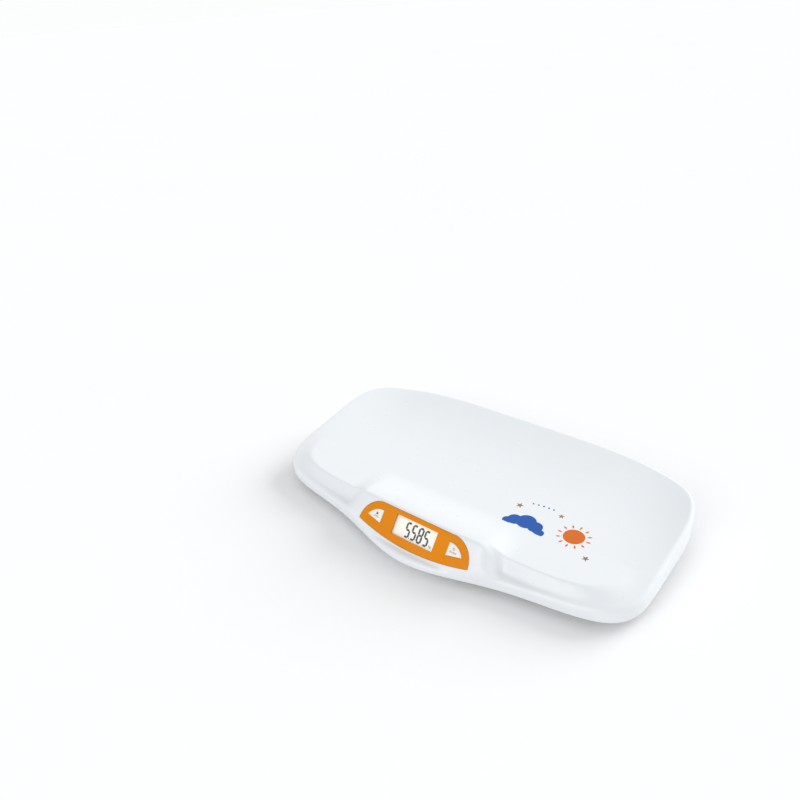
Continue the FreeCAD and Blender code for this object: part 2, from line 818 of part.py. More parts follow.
def make_board():
    """Main board with holes for its screws."""
    owner = body("board")
    low = -board_face() - size.board_thickness
    face = sketch(owner, "board_outline", low)
    draw_box(face, size.board_length, size.board_height)
    for x, y in post_places():
        draw_circle(face, size.board_screw_diameter + 2 * size.screw_clearance, x, y)
    pad(owner, "board_pad", face, size.board_thickness)
    subpart(on_panel(owner), "main_board")
    make_board_parts(low)


def make_board_parts(low):
    """Chip, a memory chip and a row of small parts on the back of the board."""
    half = size.chip_height / 2
    chips = [box("main_chip", size.chip_side, size.chip_side, size.chip_height, 0, half,
                 low - size.chip_height),
             box("small_chip", size.chip_side / 2, size.chip_side / 3, size.chip_height, 26, half,
                 low - size.chip_height)]
    for i, x in enumerate((-32, -26, -20)):
        chips.append(box("filter_%d" % i, 2, size.chip_side / 3, size.chip_height, x, half,
                         low - size.chip_height))
    subpart(on_panel(group("board_parts", chips)), "board_parts")


def make_screw(name, diameter, length, head, head_height, x, y, z, flip=1):
    """A pan-head screw; its head sits on z and the shank runs towards flip."""
    shank_low = z if flip > 0 else z - length
    head_low = z - head_height if flip > 0 else z
    return fuse(name, [cylinder(name + "_shank", diameter, length, x, y, shank_low),
                       cylinder(name + "_head", head, head_height, x, y, head_low)])


def make_board_screws():
    back = -board_face() - size.board_thickness
    screws = []
    for i, (x, y) in enumerate(post_places()):
        screws.append(make_screw("board_screw_%d" % i, size.board_screw_diameter,
                                 size.board_screw_length, 2 * size.board_screw_diameter,
                                 size.board_screw_diameter / 2, x, y, back))
    subpart(on_panel(group("board_screws", screws)), "board_screws")


def make_key(side, word):
    """Key cap with its retaining flange and the stem that presses the switch."""
    owner = body(word + "_key")
    back = size.bezel_thickness + size.key_play + size.key_flange_thickness
    face = sketch(owner, word + "_key_face", -back)
    draw_key(face, side, Size.of(0))
    pad(owner, word + "_key_cap", face, back + size.key_proud)
    brim = sketch(owner, word + "_key_brim", -back)
    draw_key(brim, side, size.key_flange)
    pad(owner, word + "_key_flange", brim, size.key_flange_thickness)
    stem = sketch(owner, word + "_key_stem_foot", -back)
    draw_circle(stem, size.key_stem_diameter, size.switch_middle * side, Size.of(0))
    pad(owner, word + "_key_stem", stem, plunger_top() - back, True)
    subpart(on_panel(owner), word + "_key")


def switch_top():
    """Depth of a switch body's top below the panel's face."""
    return board_face() - size.switch_height


def plunger_top():
    """Depth of a plunger's top: it stands out of the switch by more than its travel."""
    return switch_top() - 2 * size.key_travel


def make_switch(side, word):
    """Push switch body on the board, and the plunger that slides in its bore."""
    x = size.switch_middle * side
    bore_depth = size.plunger_sunk + size.key_travel + size.bore_spare
    block = box(word + "_switch_block", size.switch_side, size.switch_side, size.switch_height,
                x, 0, -board_face())
    bore = cylinder(word + "_switch_bore", size.plunger_diameter + 2 * size.plunger_gap,
                    bore_depth + 1, x, 0, -switch_top() - bore_depth)
    subpart(on_panel(cut(word + "_switch", block, [bore])), word + "_key_switch")
    length = switch_top() - plunger_top() + size.plunger_sunk
    owner = body(word + "_plunger")
    foot = sketch(owner, word + "_plunger_foot", -switch_top() - size.plunger_sunk)
    draw_circle(foot, size.plunger_diameter, x, Size.of(0))
    pad(owner, word + "_plunger_rod", foot, length)
    subpart(on_panel(owner), word + "_switch_plunger")


# ---------------------------------------------------------------- base cover and feet

def make_base_cover(form):
    """Flat cover with a lip, cell rests, countersunk screw holes and the battery compartment."""
    inset = float(size.base_inset)
    gap = float(size.base_gap)
    top = float(base_top())
    lip_inset = inset + float(size.housing_wall + size.lip_gap)
    plate = form.prism(inset, gap, top)
    lip = form.prism(lip_inset, top - 0.5, top + float(size.lip_height))
    lip = lip.cut(form.prism(lip_inset + float(size.lip_wall), top - 1, top + 100))
    pieces = [lip]
    cuts = []
    side = float(size.cell_side)
    hollow = side - 2 * float(size.cell_rim)
    for name, x, y in foot_places():
        middle = Vector(float(x), float(y), 0)
        rest = centred_box(side, side, top - 0.5, float(cell_bottom()), middle)
        pieces.append(rest.cut(centred_box(hollow, hollow, gap, top + 100, middle)))
        hole = float(size.stem_diameter) / 2 + float(size.stem_gap)
        cuts.append(Part.makeCylinder(hole, 100.0, middle - Z_AXIS))
        for ear in ear_places(x, y):
            bite = float(size.cradle_screw_diameter) / 2 - float(size.thread_bite)
            deep = float(size.cradle_screw_length - size.ear_thickness) + 0.2
            cuts.append(Part.makeCylinder(bite, deep, Vector(ear[0], ear[1], top - deep)))
    for x, y in boss_places():
        cuts += screw_hole(float(x), float(y), gap)
    walls, room = compartment_shapes()
    cover = plate.fuse(pieces + [walls]).cut(cuts + [room] + tab_notches())
    return subpart(feature("base_cover", cover.Solids[0]), "base_cover")


def centred_box(length, width, bottom, top, middle):
    corner = Vector(middle.x - length / 2, middle.y - width / 2, bottom)
    return Part.makeBox(length, width, top - bottom, corner)


def screw_hole(x, y, bottom):
    """A countersunk through hole in the base cover."""
    head = float(size.base_screw_head) / 2 + float(size.screw_clearance)
    shank = float(size.base_screw_diameter) / 2 + float(size.screw_clearance)
    deep = float(size.base_screw_cone)
    return [Part.makeCone(head, shank, deep, Vector(x, y, bottom)),
            Part.makeCylinder(shank, 100.0, Vector(x, y, bottom - 1))]


def compartment_shapes():
    """The compartment's outer block and the room inside it, down through the cover."""
    length, width, middle = [float(value) for value in compartment()]
    wall = 2 * float(size.compartment_wall)
    place_at = Vector(0, middle, 0)
    roof = float(compartment_roof())
    block = centred_box(length + wall, width + wall, float(base_top()) - 0.5,
                        roof + wall / 2, place_at)
    room = centred_box(length, width, float(size.base_gap) - 1, roof, place_at)
    return block, room


def hinge_line():
    """Y of the door's hinge, at the front of its opening."""
    length, width, middle = compartment()
    return middle - width / 2


def tab_notches():
    """Notches in the compartment's front wall for the door's hinge tabs."""
    y = float(hinge_line())
    wide = float(size.tab_width) + 2 * float(size.tab_gap)
    wall = float(size.compartment_wall)
    low = float(base_top())
    high = low + float(size.tab_thickness) + 2 * float(size.tab_reach)
    half = float(size.tab_half)
    return [centred_box(wide, 2 * wall + 1, low, high, Vector(x, y - wall + 0.5, 0))
            for x in (-half, half)]


def make_base_screws():
    """Countersunk self-tapping screws that hold the base cover to the tray's bosses."""
    screws = []
    low = size.base_gap
    for i, (x, y) in enumerate(boss_places()):
        name = "base_screw_%d" % i
        head = cone(name + "_head", size.base_screw_head, size.base_screw_diameter,
                    size.base_screw_cone, x, y, low)
        shank = cylinder(name + "_shank", size.base_screw_diameter, size.base_screw_length,
                         x, y, low)
        screws.append(fuse(name, [head, shank]))
    subpart(group("base_screws", screws), "base_screws")


def ear_places(x, y):
    """Centres of a cradle's two screw ears, diagonally opposite each other."""
    reach = (float(size.cell_side) + float(size.cradle_ear)) / 2
    reach += float(size.cradle_gap + size.cradle_wall)
    offset = float(size.ear_offset)
    return [(float(x) - reach, float(y) + offset), (float(x) + reach, float(y) - offset)]


def make_load_cell(name, x, y):
    """Steel plate with a slot on three sides of the tongue that the foot presses."""
    side = size.cell_side
    low = cell_bottom()
    thick = size.cell_thickness
    tongue = side - 2 * size.cell_rim
    reach = tongue / 2 - size.cell_slot / 2
    deep = thick + 2
    tools = [box(name + "_slot_near", size.cell_slot, tongue, deep, x - reach, y, low - 1),
             box(name + "_slot_far", size.cell_slot, tongue, deep, x + reach, y, low - 1),
             box(name + "_slot_end", tongue, size.cell_slot, deep, x, y + reach, low - 1)]
    plate = box(name + "_plate", side, side, thick, x, y, low)
    subpart(cut("load_cell_" + name, plate, tools), "load_cell_" + name)


def make_cradle(name, x, y):
    """Plastic cradle that holds a load cell's rim down, with two screw ears and a lead notch."""
    inner = size.cell_side + 2 * size.cradle_gap
    outer = inner + 2 * size.cradle_wall
    low = base_top()
    roof = cell_top()
    tongue = size.cell_side - 2 * size.cell_rim
    block = box(name + "_cradle_block", outer, outer, roof + size.cradle_roof - low, x, y, low)
    pieces = [block]
    tools = [box(name + "_cradle_room", inner, inner, roof - low + 1, x, y, low - 1),
             box(name + "_cradle_hatch", tongue, tongue, size.cradle_roof + 2, x, y, roof - 1)]
    inward = -1 if float(x) > 0 else 1
    notch_x = x + (outer - size.cradle_wall) / 2 * inward
    tools.append(box(name + "_cradle_notch", size.cradle_wall * 2, size.notch_width,
                     roof - low + size.cradle_roof + 1, notch_x, y, low - 0.5))
    reach = (inner + size.cradle_ear) / 2 + size.cradle_wall
    for side in (-1, 1):
        ear_x = x + reach * side - size.cradle_wall / 2 * side
        hole_x = x + reach * side
        ear_y = y - size.ear_offset * side
        pieces.append(box("%s_ear_%d" % (name, side + 1), size.cradle_ear + size.cradle_wall,
                          size.cradle_ear, size.ear_thickness, ear_x, ear_y, low))
        tools.append(cylinder("%s_ear_hole_%d" % (name, side + 1),
                              size.cradle_screw_diameter + 2 * size.screw_clearance,
                              size.ear_thickness + 2, hole_x, ear_y, low - 1))
    cradle = cut(name + "_cradle", fuse(name + "_cradle_body", pieces), tools)
    subpart(cradle, "load_cell_cradle_" + name)


def make_cradle_screws():
    top = base_top() + size.ear_thickness
    reach = (size.cell_side + size.cradle_ear) / 2 + size.cradle_gap + size.cradle_wall
    screws = []
    for name, x, y in foot_places():
        for side in (-1, 1):
            screws.append(make_screw("%s_cradle_screw_%d" % (name, side + 1),
                                     size.cradle_screw_diameter, size.cradle_screw_length,
                                     2 * size.cradle_screw_diameter,
                                     size.cradle_screw_diameter / 2,
                                     x + reach * side, y - size.ear_offset * side, top, -1))
    subpart(group("cradle_screws", screws), "cradle_screws")


def make_foot(name, x, y):
    """Foot cap whose stem presses the load cell's tongue, with a rubber pad below."""
    pad_top = size.pad_thickness
    cap_top = size.base_gap - size.cap_clearance
    edge = (size.cap_diameter - size.pad_diameter) / 4
    disc = cylinder(name + "_cap_disc", size.cap_diameter, cap_top - pad_top, x, y, pad_top)
    stem = cylinder(name + "_cap_stem", size.stem_diameter, cell_bottom() - cap_top, x, y, cap_top)
    brim = cone(name + "_cap_brim", size.cap_diameter - 2 * edge, size.cap_diameter, edge,
                x, y, pad_top - edge)
    hollow = cylinder(name + "_cap_hollow", size.pad_diameter, edge + 1, x, y, pad_top - edge - 1)
    cap = cut(name + "_cap", fuse(name + "_cap_body", [disc, stem, brim]), [hollow])
    subpart(cap, "foot_cap_" + name)
    subpart(cylinder(name + "_pad", size.pad_diameter, pad_top, x, y, 0), "foot_pad_" + name)


# ---------------------------------------------------------------- batteries

def battery_rows():
    """Y of each battery and the side (-1 or 1) that its button points to."""
    length, width, middle = compartment()
    pitch = size.battery_diameter + size.battery_space
    count = int(float(size.battery_count))
    rows = []
    for i in range(count):
        rows.append((middle + pitch * (i - (count - 1) / 2), 1 if i % 2 else -1))
    return rows


def lying_cylinder(name, diameter, length, x, y, z):
    """A cylinder along X that starts at x."""
    obj = cylinder(name, diameter, length, x, y, z)
    obj.Placement = FreeCAD.Placement(Vector(float(x), float(y), float(z)),
                                      FreeCAD.Rotation(Vector(0, 1, 0), 90))
    place(obj, x, y, z)
    return obj


def make_batteries():
    """Round cells side by side, turned alternately, each with its button."""
    length, width, middle = compartment()
    height = battery_bottom() + size.battery_diameter / 2
    cells = []
    for i, (y, side) in enumerate(battery_rows()):
        can = size.battery_length - size.button_length
        plate_end = length / 2 - size.plate_space
        if side > 0:
            start = plate_end - size.battery_length
            button = plate_end - size.button_length
        else:
            start = size.button_length - plate_end
            button = -plate_end
        cells.append(fuse("battery_%d" % i, [
            lying_cylinder("battery_can_%d" % i, size.battery_diameter, can, start, y, height),
            lying_cylinder("battery_button_%d" % i, size.button_diameter, size.button_length,
                           button, y, height)]))
    subpart(group("battery_cells", cells), "battery_cells")


def make_contacts():
    """Contact plates at both ends of each battery, and a coil spring at its flat end."""
    length, width, middle = compartment()
    height = battery_bottom() + size.battery_diameter / 2
    plates = []
    springs = []
    for i, (y, side) in enumerate(battery_rows()):
        for end in (-1, 1):
            plates.append(box("plate_%d_%d" % (i, end + 1), size.plate_thickness, size.plate_side,
                              size.plate_side, (length / 2 - size.plate_thickness / 2) * end, y,
                              height - size.plate_side / 2))
        spring = coil_spring()
        seat = (float(length) / 2 - float(size.plate_thickness)) * -side
        turn = FreeCAD.Rotation(Vector(0, 1, 0), 90 * side)
        spring.Placement = FreeCAD.Placement(Vector(seat, float(y), float(height)), turn)
        springs.append(spring)
    subpart(group("battery_plates", plates), "battery_plates")
    subpart(feature("battery_springs", Part.makeCompound(springs)), "battery_springs")


COIL_ARCS = 4    # arcs in one turn of a spring


def coil_spring():
    """A coil along +Z that fills the spring space between its plate and the battery."""
    wire = float(size.spring_wire)
    radius = (float(size.spring_diameter) - wire) / 2
    turns = int(float(size.spring_turns))
    travel = float(size.spring_space) - float(size.plate_thickness) - wire - 0.2
    rise = travel / (2 * math.pi * turns)

    def point(angle):
        lift = rise * angle + wire / 2 + 0.1
        return Vector(radius * math.cos(angle), radius * math.sin(angle), lift)

    step = 2 * math.pi / COIL_ARCS
    arcs = [Part.Arc(point(i * step), point((i + 0.5) * step), point((i + 1) * step)).toShape()
            for i in range(turns * COIL_ARCS)]
    profile = Part.Wire([Part.makeCircle(wire / 2, point(0), Vector(0, radius, rise))])
    return Part.Wire(arcs).makePipeShell([profile], True, False)


def make_door():
    """Battery door, flush with the base cover, with two hinge tabs and a finger grip."""
    length, width, middle = compartment()
    low = size.base_gap
    thick = size.door_thickness
    depth = width - 2 * size.door_gap
    front = hinge_line() + size.door_gap
    plate = box("door_plate", length - 2 * size.door_gap, depth, thick, 0, middle, low)
    pieces = [plate]
    tab_low = base_top() + size.tab_gap
    tab_top = tab_low + size.tab_thickness
    post_depth = size.tab_thickness
    for side in (-1, 1):
        x = size.tab_half * side
        pieces.append(box("door_post_%d" % (side + 1), size.tab_width, post_depth, tab_top - low,
                          x, front + post_depth / 2, low))
        reach = size.tab_reach + post_depth
        pieces.append(box("door_tab_%d" % (side + 1), size.tab_width, reach, size.tab_thickness,
                          x, front - size.tab_reach + reach / 2, tab_low))
    grip = box("door_grip", size.grip_width, size.grip_width / 2, size.grip_depth + 1,
               0, middle + depth / 2 - size.grip_width / 2, low - 1)
    subpart(cut("battery_door_piece", fuse("door_body", pieces), [grip]), "battery_door")


# ---------------------------------------------------------------- internal leads

LEAD_RADIUS_SHARE = 0.45    # of the shorter run beside a bend


def lead_path(points):
    """Straight runs joined by tangent arcs, each as large as its two runs allow."""
    edges = []
    here = points[0]
    radii = []
    for before, corner, after in zip(points, points[1:], points[2:]):
        arriving = (corner - before)
        leaving = (after - corner)
        shorter = min(arriving.Length, leaving.Length)
        trim = LEAD_RADIUS_SHARE * shorter
        turn = arriving.getAngle(leaving)
        radii.append(trim / math.tan(turn / 2))
        arriving.normalize()
        leaving.normalize()
        start = corner - arriving * trim
        stop = corner + leaving * trim
        toward = (leaving - arriving).normalize()
        apex_gap = radii[-1] * (1 / math.cos(turn / 2) - 1)
        edges.append(Part.LineSegment(here, start).toShape())
        edges.append(Part.Arc(start, corner + toward * apex_gap, stop).toShape())
        here = stop
    edges.append(Part.LineSegment(here, points[-1]).toShape())
    return Part.Wire(edges), radii


def make_lead(label, points):
    """A round lead along its route."""
    points = [Vector(*point) for point in points]
    path, radii = lead_path(points)
    radius = float(size.lead_diameter) / 2
    start = (points[1] - points[0]).normalize()
    profile = Part.Wire([Part.makeCircle(radius, points[0], start)])
    tube = path.makePipeShell([profile], True, False)
    expected = math.pi * radius ** 2 * path.Length
    print("%s: length %.0f, tightest bend %.1f, volume ratio %.4f"
          % (label, path.Length, min(radii), tube.Volume / expected))
    subpart(feature(label, tube), label)


def board_end(across):
    """The last two points of a lead: straight in to the back of the board."""
    face = -float(board_face() + size.board_thickness)
    up = -float(size.board_height) / 3
    placement = panel_placement()
    near = placement.multVec(Vector(across, up, face - 14.0))
    at_board = placement.multVec(Vector(across, up, face))
    return [tuple(near), tuple(at_board)]


def make_leads():
    """Leads from each load cell and from the batteries to the board, lying on the base cover."""
    lie = float(base_top()) + float(size.lead_diameter) / 2 + 0.1
    cell = float(cell_bottom()) + float(size.lead_diameter) / 2 + 0.1
    gate = float(size.tray_length) / 2 - float(size.foot_end_inset) - float(size.cell_side) / 2
    front = float(foot_places()[0][2])
    back = float(foot_places()[2][2])
    for side, word in ((-1, "left"), (1, "right")):
        route = [(gate, front, cell), (gate - 18, front - 1, cell - 1), (gate - 38, front - 5, lie),
                 (gate - 61, front - 9, lie), (gate - 85, front - 15, lie),
                 (gate - 108, front - 24, lie), (gate - 129, front - 33, lie)]
        make_lead("load_cell_lead_front_" + word,
                  [(x * side, y, z) for x, y, z in route] + board_end(34.0 * side))
        route = [(gate, back, cell), (gate - 19, back - 2, cell - 1), (gate - 28, back - 20, lie),
                 (gate - 40, back - 45, lie), (gate - 57, back - 71, lie),
                 (gate - 78, back - 96, lie), (gate - 101, back - 121, lie),
                 (gate - 121, back - 147, lie), (gate - 138, back - 173, lie),
                 (gate - 150, back - 197, lie)]
        make_lead("load_cell_lead_back_" + word,
                  [(x * side, y, z) for x, y, z in route] + board_end(20.0 * side))
    wall = float(hinge_line()) - float(size.compartment_wall)
    for side, word in ((-1, "black"), (1, "red")):
        route = [(9, wall, 19.0), (9, wall - 14, 18.0), (8.5, wall - 34, 12.8),
                 (8, wall - 62, lie), (9, wall - 92, lie), (8, wall - 120, lie)]
        make_lead("battery_lead_" + word,
                  [(x * side, y, z) for x, y, z in route] + board_end(7.0 * side))


# ---------------------------------------------------------------- assembly and output

def build():
    fill_sheet()
    form = TrayForm()
    make_tray(form)
    make_base_cover(form)
    make_bezel()
    make_display()
    make_board()
    make_board_screws()
    for side, word in ((-1, "left"), (1, "right")):
        make_key(side, word)
        make_switch(side, word)
    make_base_screws()
    for name, x, y in foot_places():
        make_load_cell(name, x, y)
        make_cradle(name, x, y)
        make_foot(name, x, y)
    make_cradle_screws()
    make_batteries()
    make_contacts()
    make_door()
    make_leads()
    doc.recompute()


def check():
    """Stops if anything in the document failed or a sub-part is not a valid solid."""
    for obj in doc.Objects:
        if "Invalid" in obj.State or "Error" in obj.State:
            raise RuntimeError("%s did not compute" % obj.Name)
    for obj in subparts:
        if obj.Shape.isNull() or not obj.Shape.isValid():
            raise RuntimeError("%s has no valid shape" % obj.Label)
        if not obj.Shape.Solids:
            raise RuntimeError("%s holds no solid" % obj.Label)


def write():
    os.makedirs("parts", exist_ok=True)
    for obj in subparts:
        obj.Shape.exportStep("parts/%s.step" % obj.Label)
        print("%s: %d solid(s), %.1f mm3" % (obj.Label, len(obj.Shape.Solids), obj.Shape.Volume))


build()
check()
write()
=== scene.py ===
"""Looks of a digital baby weighing scale: tray, display console, print, underside and studio.

Lengths are millimetres until a mesh is made. +X runs along the tray, -Y is the user's side, +Z is up.
"""
import logging
import math
from dataclasses import dataclass, field
from enum import Enum

import bmesh
import bpy
import numpy as np
from mathutils import Matrix, Vector


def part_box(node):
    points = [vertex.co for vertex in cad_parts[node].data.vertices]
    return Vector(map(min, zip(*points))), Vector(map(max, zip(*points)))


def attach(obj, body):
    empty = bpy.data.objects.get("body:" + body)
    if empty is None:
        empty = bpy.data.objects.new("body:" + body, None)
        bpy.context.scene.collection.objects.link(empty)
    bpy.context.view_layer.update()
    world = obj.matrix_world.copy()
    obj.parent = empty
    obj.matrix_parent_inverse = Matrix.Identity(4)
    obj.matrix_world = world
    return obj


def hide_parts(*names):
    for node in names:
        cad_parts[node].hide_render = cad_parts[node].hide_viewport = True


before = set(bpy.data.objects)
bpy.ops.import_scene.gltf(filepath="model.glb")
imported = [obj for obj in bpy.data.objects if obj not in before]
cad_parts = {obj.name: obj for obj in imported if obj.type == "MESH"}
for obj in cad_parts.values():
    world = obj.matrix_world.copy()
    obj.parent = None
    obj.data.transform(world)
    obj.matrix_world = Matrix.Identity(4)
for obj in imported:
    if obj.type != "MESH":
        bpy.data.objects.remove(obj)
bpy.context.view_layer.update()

LOG = logging.getLogger("weighing_scale")
MM = 0.001              # metres in a millimetre
ROOT = "scale_body"     # the body that holds the tray and all that is fixed to it
SHARP_ANGLE = 35.0      # degrees between faces from which an edge stays sharp
DOUBLES = 1e-7          # metres within which points of a new mesh are one
SLIVER = 1e-8           # metres below which an edge is dropped
WELD = 2e-6             # metres within which points of a copied mesh are one
FLAT_ANGLE = 0.5        # degrees up to which faces of a copied mesh are one
ROUNDED_ANGLE = 32.0    # degrees from which its edges are rounded
Socket = bpy.types.NodeSocket
Piece = bpy.types.Object
Mesh = bpy.types.Mesh
Array = np.ndarray


# ---------------- finishes

class Graph:
    """A material's node tree round one Principled shader, on Object coordinates."""

    NOISE_RANGE = (0.3, 0.7)       # values that noise usually lies between
    TINT_RANGE = (0.35, 0.65)      # values that the two colours are reached at

    def __init__(self, name: str) -> None:
        """Starts an empty material called name.

        Args:
            name: the material's name.
        """
        self.material = bpy.data.materials.new(name)
        self.material.use_nodes = True
        self.tree = self.material.node_tree
        self.shader = self.tree.nodes["Principled BSDF"]
        self.place = self.add("ShaderNodeTexCoord").outputs["Object"]

    def add(self, kind: str) -> bpy.types.Node:
        """Adds a node of that kind."""
        return self.tree.nodes.new(kind)

    def link(self, source: Socket, target: Socket) -> None:
        """Joins two sockets."""
        self.tree.links.new(source, target)

    def set(self, **values: object) -> None:
        """Sets constants on the shader's own sockets, with underscores for the spaces in their names."""
        for key, value in values.items():
            self.shader.inputs[key.replace("_", " ")].default_value = value

    def noise(self, size_mm: float, detail: float = 2.0, squash: tuple = (1, 1, 1)) -> Socket:
        """Noise texture on Object coordinates, about 0.5 on average.

        Args:
            size_mm: how far its blobs are across.
            detail: octaves of finer noise on top.
            squash: factor on each coordinate, so that less than 1 draws the blobs out along it.

        Returns:
            The noise value's socket.
        """
        mapping = self.add("ShaderNodeMapping")
        mapping.inputs["Scale"].default_value = squash
        self.link(self.place, mapping.inputs["Vector"])
        noise = self.add("ShaderNodeTexNoise")
        noise.inputs["Scale"].default_value = 1.0 / MM / size_mm
        noise.inputs["Detail"].default_value = detail
        self.link(mapping.outputs["Vector"], noise.inputs["Vector"])
        return noise.outputs["Fac"]

    def tint(self, value: Socket, first: tuple, second: tuple) -> None:
        """Colours the surface between two colours, by a noise value.

        Args:
            value: socket of the noise value.
            first: linear colour at its low end.
            second: linear colour at its high end.
        """
        ramp = self.add("ShaderNodeValToRGB")
        for stop, place, colour in zip(ramp.color_ramp.elements, self.TINT_RANGE, (first, second)):
            stop.position = place
            stop.color = (*colour, 1)
        self.link(value, ramp.inputs["Fac"])
        self.link(ramp.outputs["Color"], self.shader.inputs["Base Color"])

    def roughen(self, value: Socket, low: float, high: float) -> None:
        """Varies the roughness from low to high over a noise value's usual range.

        Args:
            value: socket of the noise value.
            low: roughness at its low end.
            high: roughness at its high end.
        """
        ranged = self.add("ShaderNodeMapRange")
        numbers = (*self.NOISE_RANGE, low, high)
        for key, number in zip(("From Min", "From Max", "To Min", "To Max"), numbers):
            ranged.inputs[key].default_value = number
        self.link(value, ranged.inputs["Value"])
        self.link(ranged.outputs["Result"], self.shader.inputs["Roughness"])

    def emboss(self, value: Socket, depth_mm: float) -> None:
        """Raises the surface by up to depth_mm where the value is high.

        Args:
            value: socket of the pattern.
            depth_mm: how far its highest spots stand up.
        """
        bump = self.add("ShaderNodeBump")
        bump.inputs["Distance"].default_value = depth_mm * MM
        self.link(value, bump.inputs["Height"])
        self.link(bump.outputs["Normal"], self.shader.inputs["Normal"])


def shade(colour: tuple, share: float) -> tuple:
    """The colour made lighter or darker by share."""
    return tuple(min(1.0, max(0.0, channel * (1 + share))) for channel in colour)


def both_ways(value: float, share: float) -> tuple:
    """The value less a share of it, and with that share more."""
    return value * (1 - share), value * (1 + share)


@dataclass(frozen=True)
class Moulded:
    """Moulded plastic: the colour drifts a little, the gloss is mottled and the skin has a fine grain."""

    IOR = 1.5
    COAT_ROUGHNESS = 0.06
    DRIFT_MM = 45.0
    MOTTLE_MM = 9.0
    MOTTLE = 0.15
    slot: str
    colour: tuple
    roughness: float = 0.3
    drift: float = 0.015
    grain_mm: float = 0.5
    grain_depth: float = 0.004
    coat: float = 0.0
    gloss: float = 0.5
    # painted light: strength at which a part glows in its own colour though it is no lamp
    painted_glow: float = 0.0

    def material(self) -> bpy.types.Material:
        """Builds the finish.

        Returns:
            The new material.
        """
        graph = Graph(self.slot)
        graph.set(IOR=self.IOR, Specular_IOR_Level=self.gloss)
        graph.set(Coat_Weight=self.coat, Coat_Roughness=self.COAT_ROUGHNESS)
        # painted light: the part glows in its own colour by the painted glow strength
        graph.set(Emission_Color=(*self.colour, 1), Emission_Strength=self.painted_glow)
        cloud = graph.noise(self.DRIFT_MM, detail=3.0)
        graph.tint(cloud, shade(self.colour, -self.drift), shade(self.colour, self.drift))
        mottle = graph.noise(self.MOTTLE_MM, detail=4.0)
        graph.roughen(mottle, *both_ways(self.roughness, self.MOTTLE))
        if self.grain_depth > 0:
            graph.emboss(graph.noise(self.grain_mm), self.grain_depth)
        return graph.material


@dataclass(frozen=True)
class Metal:
    """Bare or plated metal with fine drawing lines along X."""

    LINE_MM = 0.6
    LINE_SQUASH = (0.05, 1, 1)
    DARKER = -0.08
    LIGHTER = 0.05
    MOTTLE = 0.3
    slot: str
    colour: tuple
    roughness: float = 0.3
    line_depth: float = 0.004

    def material(self) -> bpy.types.Material:
        """Builds the finish.

        Returns:
            The new material.
        """
        graph = Graph(self.slot)
        graph.set(Metallic=1.0)
        lines = graph.noise(self.LINE_MM, squash=self.LINE_SQUASH)
        graph.tint(lines, shade(self.colour, self.DARKER), shade(self.colour, self.LIGHTER))
        graph.roughen(lines, *both_ways(self.roughness, self.MOTTLE))
        graph.emboss(lines, self.line_depth)
        return graph.material


@dataclass(frozen=True)
class Clear:
    """Clear or tinted pane with faint smears in its gloss."""

    IOR = 1.49
    SMEAR_MM = 12.0
    SMEAR_SQUASH = (1, 0.4, 0.4)
    DARKER = -0.02
    ROUGHNESS = (0.02, 0.07)
    slot: str
    colour: tuple
    alpha: float = 0.12

    def material(self) -> bpy.types.Material:
        """Builds the finish.

        Returns:
            The new material.
        """
        graph = Graph(self.slot)
        graph.set(IOR=self.IOR, Alpha=self.alpha)
        smear = graph.noise(self.SMEAR_MM, detail=3.0, squash=self.SMEAR_SQUASH)
        graph.tint(smear, shade(self.colour, self.DARKER), self.colour)
        graph.roughen(smear, *self.ROUGHNESS)
        graph.material.surface_render_method = "BLENDED"
        return graph.material


@dataclass(frozen=True)
class Ink:
    """Printed or liquid-crystal ink with a faint mottle."""

    GLOSS = 0.2
    MOTTLE_MM = 1.2
    DRIFT = 0.06
    MOTTLE = 0.1
    slot: str
    colour: tuple
    roughness: float = 0.45

    def material(self) -> bpy.types.Material:
        """Builds the finish.

        Returns:
            The new material.
        """
        graph = Graph(self.slot)
        mottle = graph.noise(self.MOTTLE_MM, detail=3.0)
        graph.set(Specular_IOR_Level=self.GLOSS)
        graph.tint(mottle, shade(self.colour, -self.DRIFT), shade(self.colour, self.DRIFT))
        graph.roughen(mottle, *both_ways(self.roughness, self.MOTTLE))
        return graph.material


